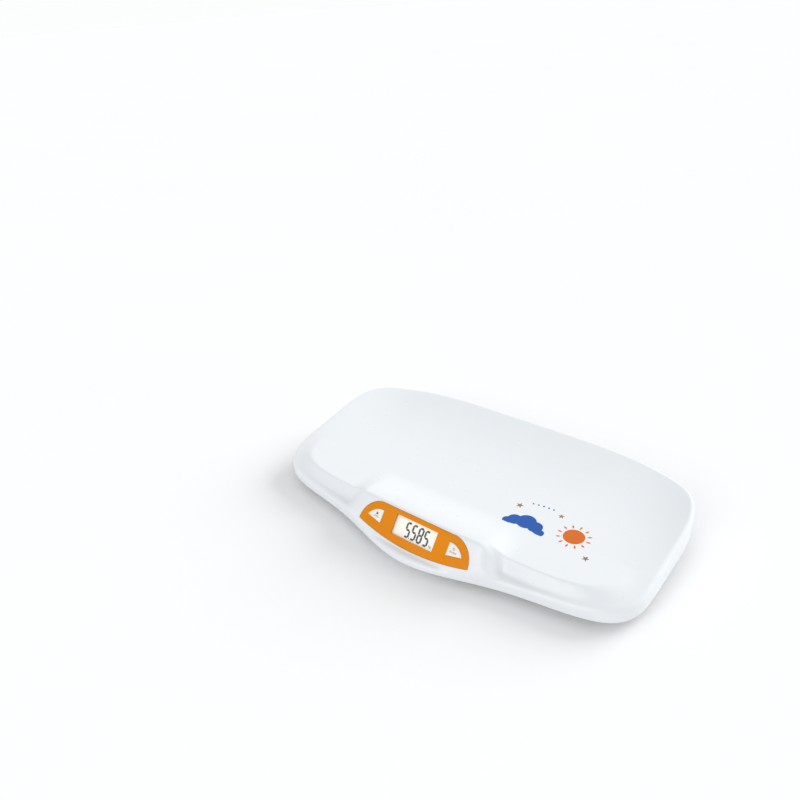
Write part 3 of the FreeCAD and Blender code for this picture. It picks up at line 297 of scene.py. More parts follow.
class Finish(Enum):
    """Every finish on the scale. Colours are linear."""

    TRAY = Moulded("tray_white", (0.852, 0.877, 0.897), 0.32, drift=0.004, grain_depth=0.0, coat=0.1)
    BASE = Moulded("base_white", (0.80, 0.80, 0.81), 0.5, grain_mm=0.6, grain_depth=0.03)
    BEZEL = Moulded("bezel_orange", (0.83, 0.262, 0.004), 0.40, drift=0.02, grain_mm=0.8,
                    grain_depth=0.002, gloss=0.12)
    KEY = Moulded("key_white", (0.95, 0.92, 0.84), 0.45, drift=0.01, grain_mm=0.4, grain_depth=0.006)
    WINDOW = Clear("clear_window", (0.96, 0.97, 0.98), alpha=0.05)
    # the display glass has a painted glow, painted light that brightens it in the shade of its recess
    DISPLAY = Moulded("display_glass", (0.97, 0.99, 0.90), 0.35, drift=0.01, grain_depth=0.001,
                      gloss=0.2, painted_glow=0.11)
    HOLDER = Moulded("holder_white", (0.78, 0.78, 0.76), 0.45)
    STRIP = Moulded("strip_rubber", (0.55, 0.22, 0.26), 0.6, drift=0.1, grain_mm=0.3, grain_depth=0.02)
    BOARD = Moulded("board_green", (0.02, 0.11, 0.04), 0.35, drift=0.15, grain_mm=2.0, grain_depth=0.02)
    CHIP = Moulded("chip_black", (0.015, 0.015, 0.017), 0.5, drift=0.2, grain_mm=0.3, grain_depth=0.01)
    SWITCH = Moulded("switch_black", (0.02, 0.02, 0.022), 0.4, drift=0.1)
    PLUNGER = Moulded("plunger_grey", (0.30, 0.31, 0.33), 0.4)
    SCREW = Metal("screw_steel", (0.58, 0.58, 0.60), 0.28)
    CELL = Metal("cell_steel", (0.60, 0.60, 0.62), 0.35, line_depth=0.008)
    CRADLE = Moulded("cradle_grey", (0.45, 0.46, 0.49), 0.45)
    FOOT = Moulded("foot_white", (0.76, 0.76, 0.77), 0.45, drift=0.01, grain_depth=0.01)
    PAD = Moulded("pad_rubber", (0.075, 0.08, 0.085), 0.7, drift=0.12, grain_mm=0.4, grain_depth=0.03)
    BATTERY = Moulded("battery_jacket", (0.02, 0.025, 0.05), 0.3, drift=0.3, grain_mm=8.0,
                      grain_depth=0.002, coat=0.4)
    PLATE = Metal("contact_plate", (0.66, 0.66, 0.68), 0.2)
    SPRING = Metal("contact_spring", (0.64, 0.64, 0.66), 0.18)
    LEAD_WHITE = Moulded("lead_white", (0.75, 0.75, 0.72), 0.45)
    LEAD_BLACK = Moulded("lead_black", (0.015, 0.015, 0.015), 0.45)
    LEAD_RED = Moulded("lead_red", (0.50, 0.02, 0.015), 0.45)
    INK_DARK = Ink("ink_dark", (0.02, 0.021, 0.026))
    INK_ORANGE = Ink("ink_orange", (0.70, 0.16, 0.02))
    INK_BLUE = Ink("ink_blue", (0.025, 0.11, 0.42))
    INK_BROWN = Ink("ink_brown", (0.36, 0.19, 0.09))

    def coat(self, piece: Piece) -> None:
        """Gives the whole piece this finish.

        Args:
            piece: the object whose every material slot gets it.
        """
        name = "finish_" + self.value.slot
        material = bpy.data.materials.get(name)
        if material is None:
            material = self.value.material()
            material.name = name
        slots = piece.data.materials
        if len(slots) == 0:
            slots.append(material)
        for index in range(len(slots)):
            slots[index] = material


# ---------------- mesh making

class Skin:
    """Grids of points joined into one mesh."""

    def __init__(self) -> None:
        """Starts with no points."""
        self.points: list[Array] = []
        self.faces: list[Array] = []
        self.count = 0

    def grid(self, points: Array, wrap: bool = False, flip: bool = False) -> "Skin":
        """Adds a grid: face (i, j) joins points (i, j), (i, j+1), (i+1, j+1) and (i+1, j).

        Args:
            points: rows x columns x 3, in millimetres.
            wrap: whether the last column meets the first.
            flip: whether the faces look the other way.

        Returns:
            This skin, so that calls can follow each other.
        """
        rows, columns = points.shape[:2]
        i = np.arange(rows - 1)[:, None]
        j = np.arange(columns if wrap else columns - 1)[None, :]
        k = (j + 1) % columns
        quads = np.stack([i * columns + j, i * columns + k,
                          (i + 1) * columns + k, (i + 1) * columns + j], axis=-1)
        quads = quads.reshape(-1, 4) + self.count
        self.faces.append(quads[:, ::-1] if flip else quads)
        self.points.append(points.reshape(-1, 3))
        self.count += rows * columns
        return self

    def piece(self, name: str, angle: float = SHARP_ANGLE, closed: bool = True) -> Piece:
        """Makes the object from all grids, with doubles merged.

        Args:
            name: the piece's name.
            angle: the smallest angle between faces, in degrees, that stays a sharp edge.
            closed: whether the mesh encloses a volume, so that its faces are turned outwards.

        Returns:
            The new object, at the origin.
        """
        mesh = bpy.data.meshes.new(name)
        mesh.from_pydata(np.concatenate(self.points) * MM, [], np.concatenate(self.faces))
        work = bmesh.new()
        work.from_mesh(mesh)
        bmesh.ops.remove_doubles(work, verts=work.verts, dist=DOUBLES)
        bmesh.ops.dissolve_degenerate(work, edges=work.edges, dist=SLIVER)
        if closed:
            bmesh.ops.recalc_face_normals(work, faces=work.faces)
        work.to_mesh(mesh)
        work.free()
        smooth(mesh, angle)
        return linked(name, mesh)


def linked(name: str, data: bpy.types.ID) -> Piece:
    """Puts a new object in the scene.

    Args:
        name: the object's name.
        data: its mesh, lettering, camera or lamp.

    Returns:
        The new object, at the origin.
    """
    piece = bpy.data.objects.new(name, data)
    bpy.context.scene.collection.objects.link(piece)
    return piece


def smooth(mesh: Mesh, angle: float) -> None:
    """Shades the mesh smooth but for edges sharper than angle, in degrees."""
    mesh.shade_smooth()
    mesh.set_sharp_from_angle(angle=math.radians(angle))


def worked_out(piece: Piece) -> Mesh:
    """Works out a piece with its modifiers applied, or its lettering as a mesh.

    Args:
        piece: the object, which stays as it is.

    Returns:
        The new mesh.
    """
    bpy.context.view_layer.update()
    shape = piece.evaluated_get(bpy.context.evaluated_depsgraph_get())
    return bpy.data.meshes.new_from_object(shape)


def bake_modifiers(piece: Piece, angle: float = SHARP_ANGLE) -> None:
    """Applies the piece's modifiers to its mesh and shades the result.

    Args:
        piece: the object with modifiers.
        angle: the smallest angle, in degrees, that stays a sharp edge.
    """
    mesh = worked_out(piece)
    piece.modifiers.clear()
    piece.data = mesh
    smooth(mesh, angle)


def softened(node: str, name: str, width: float, segments: int = 3) -> Piece:
    """Copies a rigid node, rounds the copy's edges and lets it stand for the node.

    Args:
        node: the node to copy.
        name: the new piece's name.
        width: radius of the rounding, in millimetres.
        segments: faces across the rounding.

    Returns:
        The new object.
    """
    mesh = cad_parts[node].data.copy()
    work = bmesh.new()
    work.from_mesh(mesh)
    bmesh.ops.remove_doubles(work, verts=work.verts, dist=WELD)
    bmesh.ops.dissolve_limit(work, angle_limit=math.radians(FLAT_ANGLE), verts=work.verts,
                             edges=work.edges)
    work.to_mesh(mesh)
    work.free()
    piece = linked(name, mesh)
    bevel = piece.modifiers.new("rounding", "BEVEL")
    bevel.width = width * MM
    bevel.segments = segments
    bevel.limit_method = "ANGLE"
    bevel.angle_limit = math.radians(ROUNDED_ANGLE)
    bake_modifiers(piece)
    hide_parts(node)
    return piece


def settle(piece: Piece, finish: Finish, body: str = ROOT) -> None:
    """Coats a piece and lets it ride on its body.

    Args:
        piece: the finished object.
        finish: what it is coated with.
        body: the body that it moves with.
    """
    finish.coat(piece)
    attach(piece, body)
    LOG.info("%s: %d points on %s", piece.name, len(piece.data.vertices), body)


# ---------------- the tray

def around(x: float, y: float, radius: Array, angle: Array) -> Array:
    """Flat points at a radius and an angle, in radians, from (x, y)."""
    return np.stack([x + radius * np.cos(angle), y + radius * np.sin(angle)], axis=-1)


def raised(flat: Array, z: Array | float) -> Array:
    """Flat points at the heights z."""
    return np.concatenate([flat, np.broadcast_to(z, flat.shape[:-1])[..., None]], axis=-1)


def clamp(value: Array) -> Array:
    """Limits values to 0 to 1."""
    return np.clip(value, 0.0, 1.0)


def smooth_step(share: Array) -> Array:
    """Three times the square less twice the cube of the share, from 0 to 1."""
    share = clamp(share)
    return share * share * (3 - 2 * share)


def soft_min(first: Array, second: Array, reach: float) -> Array:
    """The lower of two heights, rounded by a parabola where they differ by less than reach."""
    share = clamp(0.5 + 0.5 * (second - first) / reach)
    return second + (first - second) * share - reach * share * (1 - share)


def soft_max(first: Array, second: Array, reach: float) -> Array:
    """The higher of two heights, rounded in the same way."""
    return -soft_min(-first, -second, reach)


@dataclass
class TrayForm:
    """Outline and lying surface of the tray."""

    half: float = 280.0
    centre: float = 8.0
    front: float = 126.0
    back: float = 148.0
    bulge_reach: float = 38.0
    bulge_width: float = 111.0
    front_power: float = 5.5
    back_power: float = 4.1
    floor: float = 43.0
    back_rim: float = 62.0
    front_rim: float = 27.0
    rim_sweep: float = 1.7
    bowl_power: float = 2.2
    end_rise: float = 90.0
    back_rise: float = 166.0
    end_flange: float = 34.0
    front_flange: float = 16.0
    edge_slope: float = 14.0
    edge_power: float = 5.4
    tilt: float = 50.0
    panel_y: float = -127.0
    panel_z: float = 38.5
    console_half: float = 92.0
    console_blend: float = 36.0
    console_crest: float = 22.0
    console_run: float = 70.0
    console_foot: float = 19.0
    console_back: float = -95.0
    corner_rounding: float = 3.0
    skirt_front: float = 12.0
    skirt_back: float = 26.0
    columns: int = 512
    crowding: float = 1.7
    angles: Array = field(init=False)

    DENSE = 7201           # points of the fine outline that the columns are spaced along
    NUDGE = 0.004          # radians either side that the outline's direction is taken over
    FULL_RISE = 1.05       # share of the bowl's reach at which it stops rising

    def __post_init__(self) -> None:
        """Spaces the columns along the outline, closer together by crowding round the console."""
        dense = np.linspace(0, 2 * np.pi, self.DENSE) + np.pi / 2
        x, y = self.polar(dense)
        step = np.hypot(np.diff(x), np.diff(y))
        step = step * np.where(0.5 * (y[1:] + y[:-1]) < self.console_back, self.crowding, 1.0)
        walked = np.concatenate([[0.0], np.cumsum(step)])
        goals = np.linspace(0, walked[-1], self.columns, endpoint=False)
        self.angles = np.interp(goals, walked, dense)

    def polar(self, angle: Array) -> tuple[Array, Array]:
        """Outline point at a polar angle.

        The radius is (|cos/half|^n + |sin/depth|^n)^(-1/n), and the front is pushed out by a bell
        exp(-(x/width)^2) that fades towards the ends.

        Args:
            angle: polar angles in radians.

        Returns:
            The x and the y of each point.
        """
        cosine, sine = np.cos(angle), np.sin(angle)
        power = np.where(sine < 0, self.front_power, self.back_power)
        depth = np.where(sine < 0, self.front, self.back)
        radius = (np.abs(cosine / self.half) ** power + np.abs(sine / depth) ** power) ** (-1 / power)
        x, y = radius * cosine, radius * sine
        bell = np.exp(-(x / self.bulge_width) ** 2) * np.abs(y) / depth
        y = y - np.where(sine < 0, self.bulge_reach * bell, 0.0)
        return x, self.centre + y

    def outline(self, inset: Array | float) -> Array:
        """Outline moved inwards along its normal, which is its run turned by 90 degrees.

        Args:
            inset: one distance, or one for each row.

        Returns:
            Points, rows x columns x 2.
        """
        x, y = self.polar(self.angles)
        x0, y0 = self.polar(self.angles - self.NUDGE)
        x1, y1 = self.polar(self.angles + self.NUDGE)
        run = np.hypot(x1 - x0, y1 - y0)
        inward = np.stack([-(y1 - y0) / run, (x1 - x0) / run], axis=-1)
        rows = np.atleast_1d(np.asarray(inset, float))[:, None, None]
        return np.stack([x, y], axis=-1)[None] + rows * inward[None]

    def rim(self, y: Array) -> Array:
        """Rim height: the back rim, less the drop to the front rim times (1 - share) to a power."""
        share = clamp((y - self.centre + self.front) / (self.front + self.back))
        return self.back_rim - (self.back_rim - self.front_rim) * (1 - share) ** self.rim_sweep

    def console(self, y: Array) -> Array:
        """Console profile: foot flange, sloping plane, crest and the run down to the floor.

        It is the lower of plane and crown, and the higher of that and the foot, both rounded. The crown
        falls from crest to floor by a smooth step.

        Args:
            y: places from front to back.

        Returns:
            Heights.
        """
        slope = math.radians(self.tilt)
        plane = self.panel_z + (y - self.panel_y) * math.tan(slope)
        crest_y = self.panel_y + self.console_crest * math.cos(slope)
        crest_z = self.panel_z + self.console_crest * math.sin(slope)
        fall = smooth_step((y - crest_y) / self.console_run)
        crown = self.floor + (crest_z - self.floor) * (1 - fall)
        foot = np.full_like(y, self.console_foot)
        return soft_max(soft_min(plane, crown, self.corner_rounding), foot, self.corner_rounding)

    def console_share(self, x: Array, y: Array) -> Array:
        """1 on the console, 0 off it, with a smooth step at its sides."""
        share = 1 - smooth_step((np.abs(x) - self.console_half) / self.console_blend)
        return np.where(y > self.centre, 0.0, share)

    def height(self, x: Array, y: Array) -> Array:
        """Height of the top face: floor, risen ends and back, dropped front edge, and console.

        The rise is (rim - floor) times reach^n, where reach = (along^n + across^n)^(1/n) and along and
        across are the shares of the way from the flat middle to the edge. In front the floor drops to
        the rim by a sine of the squared share across the edge's slope. The console is blended in by its
        share.

        Args:
            x: places along the tray.
            y: places from front to back.

        Returns:
            Heights.
        """
        rim = self.rim(y)
        along = np.maximum(0, np.abs(x) - self.half + self.end_rise) / self.end_rise
        across = np.maximum(0, y - self.centre - self.back + self.back_rise) / self.back_rise
        reach = (along ** self.bowl_power + across ** self.bowl_power) ** (1 / self.bowl_power)
        rise = np.maximum(0, rim - self.floor) * np.minimum(self.FULL_RISE, reach) ** self.bowl_power
        depth = self.front - self.front_flange
        forward = np.maximum(0, self.centre - y) / depth
        edge = (np.abs(x / (self.half - self.end_flange)) ** self.edge_power
                + forward ** self.edge_power) ** (1 / self.edge_power)
        slope = self.edge_slope / depth
        kept = np.sin(np.pi / 2 * clamp((1 + slope - edge) / slope) ** 2)
        side = self.floor + rise - np.maximum(0, self.floor - rim) * (1 - kept)
        return side + (self.console(y) - side) * self.console_share(x, y)

    def on_surface(self, flat: Array, lift: float = 0.0) -> Array:
        """Flat points, raised to lift above the top face."""
        return raised(flat, self.height(flat[..., 0], flat[..., 1]) + lift)


@dataclass
class Panel:
    """The sloping plane that the display sits in: u along it, v up the slope, n outwards."""

    form: TrayForm
    top: float = 19.5
    top_half: float = 60.0
    tip_half: float = 87.5
    tip_drop: float = 12.5
    bottom: float = 24.0
    side_half: float = 77.0
    side_rise: float = 11.5
    top_points: int = 40
    side_points: int = 24
    bottom_points: int = 72

    def matrix(self) -> Matrix:
        """Turn by the tilt about X, and the move to the panel's middle.

        Returns:
            The matrix from u, v, n in metres to the scale's own frame.
        """
        form = self.form
        turn = Matrix.Rotation(math.radians(form.tilt), 4, "X")
        return Matrix.Translation((0, form.panel_y * MM, form.panel_z * MM)) @ turn

    def lift(self, points: Array) -> Array:
        """Moves panel points into the scale's own frame, by the tilt's cosine and sine.

        Args:
            points: u, v, n in millimetres.

        Returns:
            x, y, z in millimetres.
        """
        slope = math.radians(self.form.tilt)
        u, v, n = points[..., 0], points[..., 1], points[..., 2]
        y = self.form.panel_y + v * math.cos(slope) - n * math.sin(slope)
        z = self.form.panel_z + v * math.sin(slope) + n * math.cos(slope)
        return np.stack([u, y, z], axis=-1)

    def outline(self, grow: float) -> Array:
        """Half-moon outline of the bezel: a straight top, two side arcs and a bottom arc.

        Each point moves outwards along the sum of the normals on both sides of it, by grow times 2 /
        length of that sum, which mitres the corners.

        Args:
            grow: how far it moves, below 0 for inwards.

        Returns:
            Points, count x 2.
        """
        right, left = (self.top_half, self.top), (-self.top_half, self.top)
        tip, far_tip = (self.tip_half, -self.tip_drop), (-self.tip_half, -self.tip_drop)
        side, far_side = (self.side_half, self.side_rise), (-self.side_half, self.side_rise)
        parts = [line(right, left, self.top_points),
                 arc(left, far_side, far_tip, self.side_points),
                 arc(far_tip, (0, -self.bottom), tip, self.bottom_points),
                 arc(tip, side, right, self.side_points)]
        loop = np.concatenate(parts)
        before = loop - np.roll(loop, 1, axis=0)
        after = np.roll(loop, -1, axis=0) - loop
        before /= np.linalg.norm(before, axis=1, keepdims=True)
        after /= np.linalg.norm(after, axis=1, keepdims=True)
        normal = np.stack([before[:, 1] + after[:, 1], -before[:, 0] - after[:, 0]], axis=-1)
        length = np.linalg.norm(normal, axis=1, keepdims=True)
        return loop + grow * normal / length * (2 / length)


def line(start: tuple, stop: tuple, count: int) -> Array:
    """count points from start towards stop, without stop."""
    share = np.linspace(0, 1, count, endpoint=False)[:, None]
    return np.array(start)[None] * (1 - share) + np.array(stop)[None] * share


def arc(start: tuple, through: tuple, stop: tuple, count: int) -> Array:
    """Circle from start over through towards stop, without stop.

    The centre is as far from all three points: 2 (b - a) . centre = b . b - a . a, and the same for c.

    Args:
        start: first point.
        through: a point on the way.
        stop: point at the far end.
        count: number of points.

    Returns:
        Points, count x 2.
    """
    a, b, c = (np.array(point, float) for point in (start, through, stop))
    turn = np.array([[b[0] - a[0], b[1] - a[1]], [c[0] - a[0], c[1] - a[1]]])
    centre = np.linalg.solve(2 * turn, [b @ b - a @ a, c @ c - a @ a])
    radius = np.linalg.norm(a - centre)
    angles = [math.atan2(*(point - centre)[::-1]) for point in (a, b, c)]
    sign = 1 if (angles[1] - angles[0]) % (2 * np.pi) < (angles[2] - angles[0]) % (2 * np.pi) else -1
    sweep = (sign * (angles[2] - angles[0])) % (2 * np.pi)
    way = angles[0] + sign * sweep * np.linspace(0, 1, count, endpoint=False)
    return centre + radius * np.stack([np.cos(way), np.sin(way)], axis=-1)


@dataclass
class Tray:
    """The one-piece tray: lying surface, rolled rim, skirt and housing wall."""

    form: TrayForm
    panel: Panel
    rim_radius: float = 6.0
    wall: float = 3.2
    skirt_wall: float = 2.6
    housing_inset: float = 12.0
    housing_wall: float = 2.4
    housing_foot: float = 10.5
    console_backing: float = 6.0
    recess_gap: float = 0.4
    recess_depth: float = 2.4
    ledge: float = 2.6
    plug_above: float = 12.0
    plug_below: float = 14.0
    edge_rounding: float = 0.8
    flat_share: float = 0.66
    flat_rings: int = 36
    wall_rings: int = 62
    rim_rings: int = 10
    skirt_rings: int = 5
    edge_rings: int = 7
    gutter_rings: int = 6
    upright_rings: int = 4
    ceiling_rings: int = 14
    sharp_angle: float = 40.0

    def top(self) -> Array:
        """Lying surface: the inner rim curve scaled towards the centre by a share for each ring.

        Returns:
            Points, rings x columns x 3.
        """
        shares = np.concatenate([np.linspace(0.0, self.flat_share, self.flat_rings, endpoint=False),
                                 np.linspace(self.flat_share, 1.0, self.wall_rings)])[:, None, None]
        inner = self.form.outline(self.rim_radius)
        middle = np.array([0.0, self.form.centre])
        return self.form.on_surface(middle + shares * (inner - middle))

    def rolled_rim(self) -> Array:
        """Rolled rim, a quarter circle: inset = R - R sin t, drop = R - R cos t.

        Returns:
            Points, rings x columns x 3.
        """
        turn = np.linspace(0, np.pi / 2, self.rim_rings)[1:]
        radius = self.rim_radius
        points = self.form.on_surface(self.form.outline(radius - radius * np.sin(turn)))
        points[..., 2] -= (radius - radius * np.cos(turn))[:, None]
        return points

    def skirt_edge(self, y: Array) -> Array:
        """Height of the skirt's lower edge, a straight slope from front to back.

        Args:
            y: places from front to back.

        Returns:
            Heights.
        """
        form = self.form
        share = (y - form.centre + form.front) / (form.front + form.back)
        return form.skirt_front + (form.skirt_back - form.skirt_front) * share

    def band(self, inset: float, low: Array, high: Array, rings: int) -> Array:
        """Upright band at an inset, of rings from low to high."""
        flat = np.repeat(self.form.outline(inset), rings, axis=0)
        return raised(flat, low + (high - low) * np.linspace(0, 1, rings)[:, None])

    def under(self, flat: Array) -> Array:
        """Height of the underside: the top face less the wall, and less a backing by the console.

        Args:
            flat: flat points.

        Returns:
            Heights.
        """
        x, y = flat[..., 0], flat[..., 1]
        behind = y < self.form.console_back
        backing = self.console_backing * self.form.console_share(x, y) * behind
        return self.form.height(x, y) - self.wall - backing

    def under_at(self, inset: float) -> Array:
        """Height of the underside all round the outline, at an inset."""
        return self.under(self.form.outline(inset)[0])

    def skirt(self, rim: Array) -> list[Array]:
        """Skirt from the rim down, round its half-round lower edge and up inside to the underside.

        Args:
            rim: the rolled rim's points, whose last ring it starts from.

        Returns:
            Its outside, its lower edge and its inside, each rings x columns x 3.
        """
        form, rounding = self.form, self.edge_rounding
        edge = self.skirt_edge(form.outline(0.0)[0][:, 1])
        outside = self.band(0.0, rim[-1, :, 2], edge + rounding, self.skirt_rings)[1:]
        turn = np.linspace(0, np.pi, self.edge_rings)[1:-1]
        half = self.skirt_wall / 2
        below = raised(form.outline(half - half * np.cos(turn)),
                       edge + rounding - rounding * np.sin(turn)[:, None])
        inside = self.band(self.skirt_wall, edge + rounding, self.under_at(self.skirt_wall),
                           self.upright_rings)
        return [outside, below, inside]

    def housing(self) -> list[Array]:
        """Underside outside the housing wall, the wall itself, and the underside within it.

        Returns:
            Four bands from the skirt in to the middle, each rings x columns x 3.
        """
        form = self.form
        outer, inner = self.housing_inset, self.housing_inset + self.housing_wall
        gutter = form.outline(np.linspace(self.skirt_wall, outer, self.gutter_rings)[1:])
        foot = np.full(form.columns, self.housing_foot)
        outside = self.band(outer, self.under_at(outer), foot, self.upright_rings)[1:]
        inside = self.band(inner, foot, self.under_at(inner), self.upright_rings)
        shares = np.linspace(1, 0, self.ceiling_rings)[1:, None, None]
        middle = np.array([0.0, form.centre])
        ceiling = middle + shares * (form.outline(inner) - middle)
        return [raised(gutter, self.under(gutter)), outside, inside,
                raised(ceiling, self.under(ceiling))]

    def shell(self) -> Piece:
        """One closed profile carried round the outline, from the centre out, down and back in.

        Returns:
            The closed shell.
        """
        rim = self.rolled_rim()
        rows = np.concatenate([self.top(), rim, *self.skirt(rim), *self.housing()])
        return Skin().grid(rows, wrap=True).piece("tray_shell", self.sharp_angle)

    def cutter(self) -> Piece:
        """Stepped plug with the bezel's outline: recess, ledge and the opening behind it.

        Returns:
            The plug, to be cut out of the shell.
        """
        steps = [(self.recess_gap, self.plug_above), (self.recess_gap, -self.recess_depth),
                 (-self.ledge, -self.recess_depth), (-self.ledge, -self.plug_below)]
        rows = [raised(self.panel.outline(grow), n) for grow, n in steps]
        caps = [np.broadcast_to(row.mean(axis=0), row.shape) for row in (rows[0], rows[-1])]
        stack = self.panel.lift(np.stack([caps[0], *rows, caps[1]]))
        return Skin().grid(stack, wrap=True).piece("recess_plug")

    def build(self) -> None:
        """Cuts the recess out of the shell and dresses it."""
        shell = self.shell()
        plug = self.cutter()
        cut = shell.modifiers.new("recess", "BOOLEAN")
        cut.operation = "DIFFERENCE"
        cut.solver = "EXACT"
        cut.object = plug
        bake_modifiers(shell, self.sharp_angle)
        bpy.data.objects.remove(plug)
        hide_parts("tray")
        settle(shell, Finish.TRAY)


# ---------------- console

class Segment(Enum):
    """The seven strokes of a digit: centre and direction, in shares of its half-width and half-height."""

    TOP = (0.0, 1.0, False)
    MIDDLE = (0.0, 0.0, False)
    BOTTOM = (0.0, -1.0, False)
    UPPER_LEFT = (-1.0, 0.5, True)
    UPPER_RIGHT = (1.0, 0.5, True)
    LOWER_LEFT = (-1.0, -0.5, True)
    LOWER_RIGHT = (1.0, -0.5, True)


FIVE = (Segment.TOP, Segment.MIDDLE, Segment.BOTTOM, Segment.UPPER_LEFT, Segment.LOWER_RIGHT)
EIGHT = tuple(Segment)
CAPITAL_SHARE = 0.7     # height of a capital as a share of the lettering's size


def words_mesh(words: str, height: float) -> Mesh:
    """Plain lettering as a flat mesh, centred.

    Args:
        words: what it says.
        height: height of its capitals, in millimetres.

    Returns:
        The new mesh.
    """
    curve = bpy.data.curves.new("words", "FONT")
    curve.body = words
    curve.align_x = "CENTER"
    curve.align_y = "CENTER"
    curve.size = height * MM / CAPITAL_SHARE
    curve.resolution_u = 4
    holder = linked("words", curve)
    mesh = worked_out(holder)
    bpy.data.objects.remove(holder)
    return mesh


def disc(x: float, y: float, radius: float, inner: float = 0.0, start: float = 0.0,
         stop: float = 360.0, count: int = 48) -> Array:
    """Flat disc or ring sector, 2 x count x 2 points, from inner to radius and start to stop."""
    angle = np.radians(np.linspace(start, stop, count))
    return around(x, y, np.array([inner, radius])[:, None], angle)


def bar(x: float, y: float, width: float, height: float) -> Array:
    """Flat rectangle.

    Args:
        x: its middle.
        y: its middle.
        width: size along x.
        height: size along y.

    Returns:
        Points, 2 x 2 x 2.
    """
    across = np.array([-0.5, 0.5]) * width + x
    up = np.array([0.5, -0.5]) * height + y
    return np.stack(np.meshgrid(across, up), axis=-1)


def fan(x: float, y: float, edge: Array) -> Array:
    """Flat fan from a middle to an edge, 2 x count x 2 points."""
    return np.stack([np.broadcast_to([x, y], edge.shape), edge])


def facing_down(flat: Array) -> bool:
    """Whether a flat grid's faces would look away from +n, by the sign of row x column.

    Args:
        flat: rows x columns x 2 points.

    Returns:
        True where the grid has to be flipped.
    """
    middle = flat.shape[1] // 2
    if flat.shape[1] > 4 or not np.ptp(flat[0], axis=0).any():
        along = flat[-1, middle] - flat[-1, middle - 1]
        across = flat[-1, middle] - flat[0, middle]
    else:
        along = flat[0, 1] - flat[0, 0]
        across = flat[-1].mean(axis=0) - flat[0].mean(axis=0)
    return bool(along[0] * across[1] - along[1] * across[0] < 0)


@dataclass
class Console:
    """Bezel, digits on the display glass and the two keys with their signs."""

    panel: Panel
    display_depth: float = 3.9
    digit_half_width: float = 2.95
    digit_half_height: float = 9.1
    digit_pitch: float = 9.9
    first_digit: float = -11.6
    digit_y: float = -0.7
    stroke: float = 2.6
    stroke_gap: float = 0.1
    stroke_point: float = 0.02
    point_radius: float = 0.8
    unit: tuple = ("kg", 26.4, -8.0, 3.2)
    key_middle: float = 62.0
    key_proud: float = 0.9
    sign_v: float = 3.3
    caption_v: float = -1.3
    caption_height: float = 2.1
    lock_body: tuple = (2.9, 2.2)
    lock_drop: float = 0.9
    shackle: tuple = (1.2, 0.75, 0, 180, 20)
    shackle_rise: float = 0.1
    power_ring: tuple = (1.5, 1.1, 125, 415, 30)
    power_bar: tuple = (0.4, 1.9)
    power_rise: float = 1.1
    ink: float = 0.04

    def marks(self, name: str, grids: list[Array], n: float, body: str, words: tuple) -> None:
        """Makes dark flat marks on the panel, all facing outwards.

        Args:
            name: the piece's name.
            grids: flat grids of u, v points.
            n: height above the panel's face.
            body: the body the marks ride on.
            words: lettering as (text, u, v, height).
        """
        skin = Skin()
        for flat in grids:
            skin.grid(self.panel.lift(raised(flat, n)), flip=facing_down(flat))
        piece = skin.piece(name, closed=False)
        text, u, v, height = words
        mesh = words_mesh(text, height)
        mesh.transform(self.panel.matrix() @ Matrix.Translation((u * MM, v * MM, n * MM)))
        work = bmesh.new()
        work.from_mesh(piece.data)
        work.from_mesh(mesh)
        work.to_mesh(piece.data)
        work.free()
        bpy.data.meshes.remove(mesh)
        settle(piece, Finish.INK_DARK, body)

    def digit(self, middle: float, strokes: tuple) -> list[Array]:
        """One digit: each stroke is a bar whose width tapers to a point at both ends.

        Args:
            middle: u of its middle.
            strokes: its strokes.

        Returns:
            A flat grid for each stroke.
        """
        grids = []
        for stroke in strokes:
            share_x, share_y, upright = stroke.value
            reach = (self.digit_half_height / 2 if upright else self.digit_half_width) - self.stroke_gap
            half = self.stroke / 2
            along = np.array([-reach, -reach + half, reach - half, reach])
            width = np.array([self.stroke_point, 1, 1, self.stroke_point])
            across = np.array([-1.0, 0.0, 1.0])[:, None] * width * half
            lengthwise = np.broadcast_to(along, across.shape)
            x, y = (across, lengthwise) if upright else (lengthwise, across)
            grids.append(np.stack([x + middle + share_x * self.digit_half_width,
                                   y + self.digit_y + share_y * self.digit_half_height], axis=-1))
        return grids

    def display(self) -> None:
        """Four dark digits, a decimal point and the unit on the display glass."""
        grids = []
        for place, strokes in enumerate((FIVE, FIVE, EIGHT, FIVE)):
            grids += self.digit(self.first_digit + place * self.digit_pitch, strokes)
        point = self.first_digit + self.digit_pitch / 2
        foot = self.digit_y - self.digit_half_height
        grids.append(disc(point, foot, self.point_radius, count=16))
        self.marks("display_digits", grids, self.ink - self.display_depth, ROOT, self.unit)

    def lock(self, u: float, v: float) -> list[Array]:
        """Padlock sign: a square body under a half-ring shackle."""
        return [bar(u, v - self.lock_drop, *self.lock_body),
                disc(u, v + self.shackle_rise, *self.shackle)]

    def power(self, u: float, v: float) -> list[Array]:
        """Power sign: an open ring with an upright bar in its gap."""
        return [disc(u, v, *self.power_ring), bar(u, v + self.power_rise, *self.power_bar)]

    def build(self) -> None:
        """Makes the bezel, the two key caps with their signs, and the digits."""
        settle(softened("display_bezel", "bezel_plate", 0.5), Finish.BEZEL)
        for word, caption, signs in (("left", "HOLD", self.lock), ("right", "ON/OFF", self.power)):
            u = self.key_middle * (-1 if word == "left" else 1)
            body = word + "_key_body"
            settle(softened(word + "_key", word + "_key_cap", 0.35), Finish.KEY, body)
            self.marks(word + "_key_sign", signs(u, self.sign_v), self.key_proud + self.ink, body,
                       (caption, u, self.caption_v, self.caption_height))
        self.display()


# ---------------- print on the tray

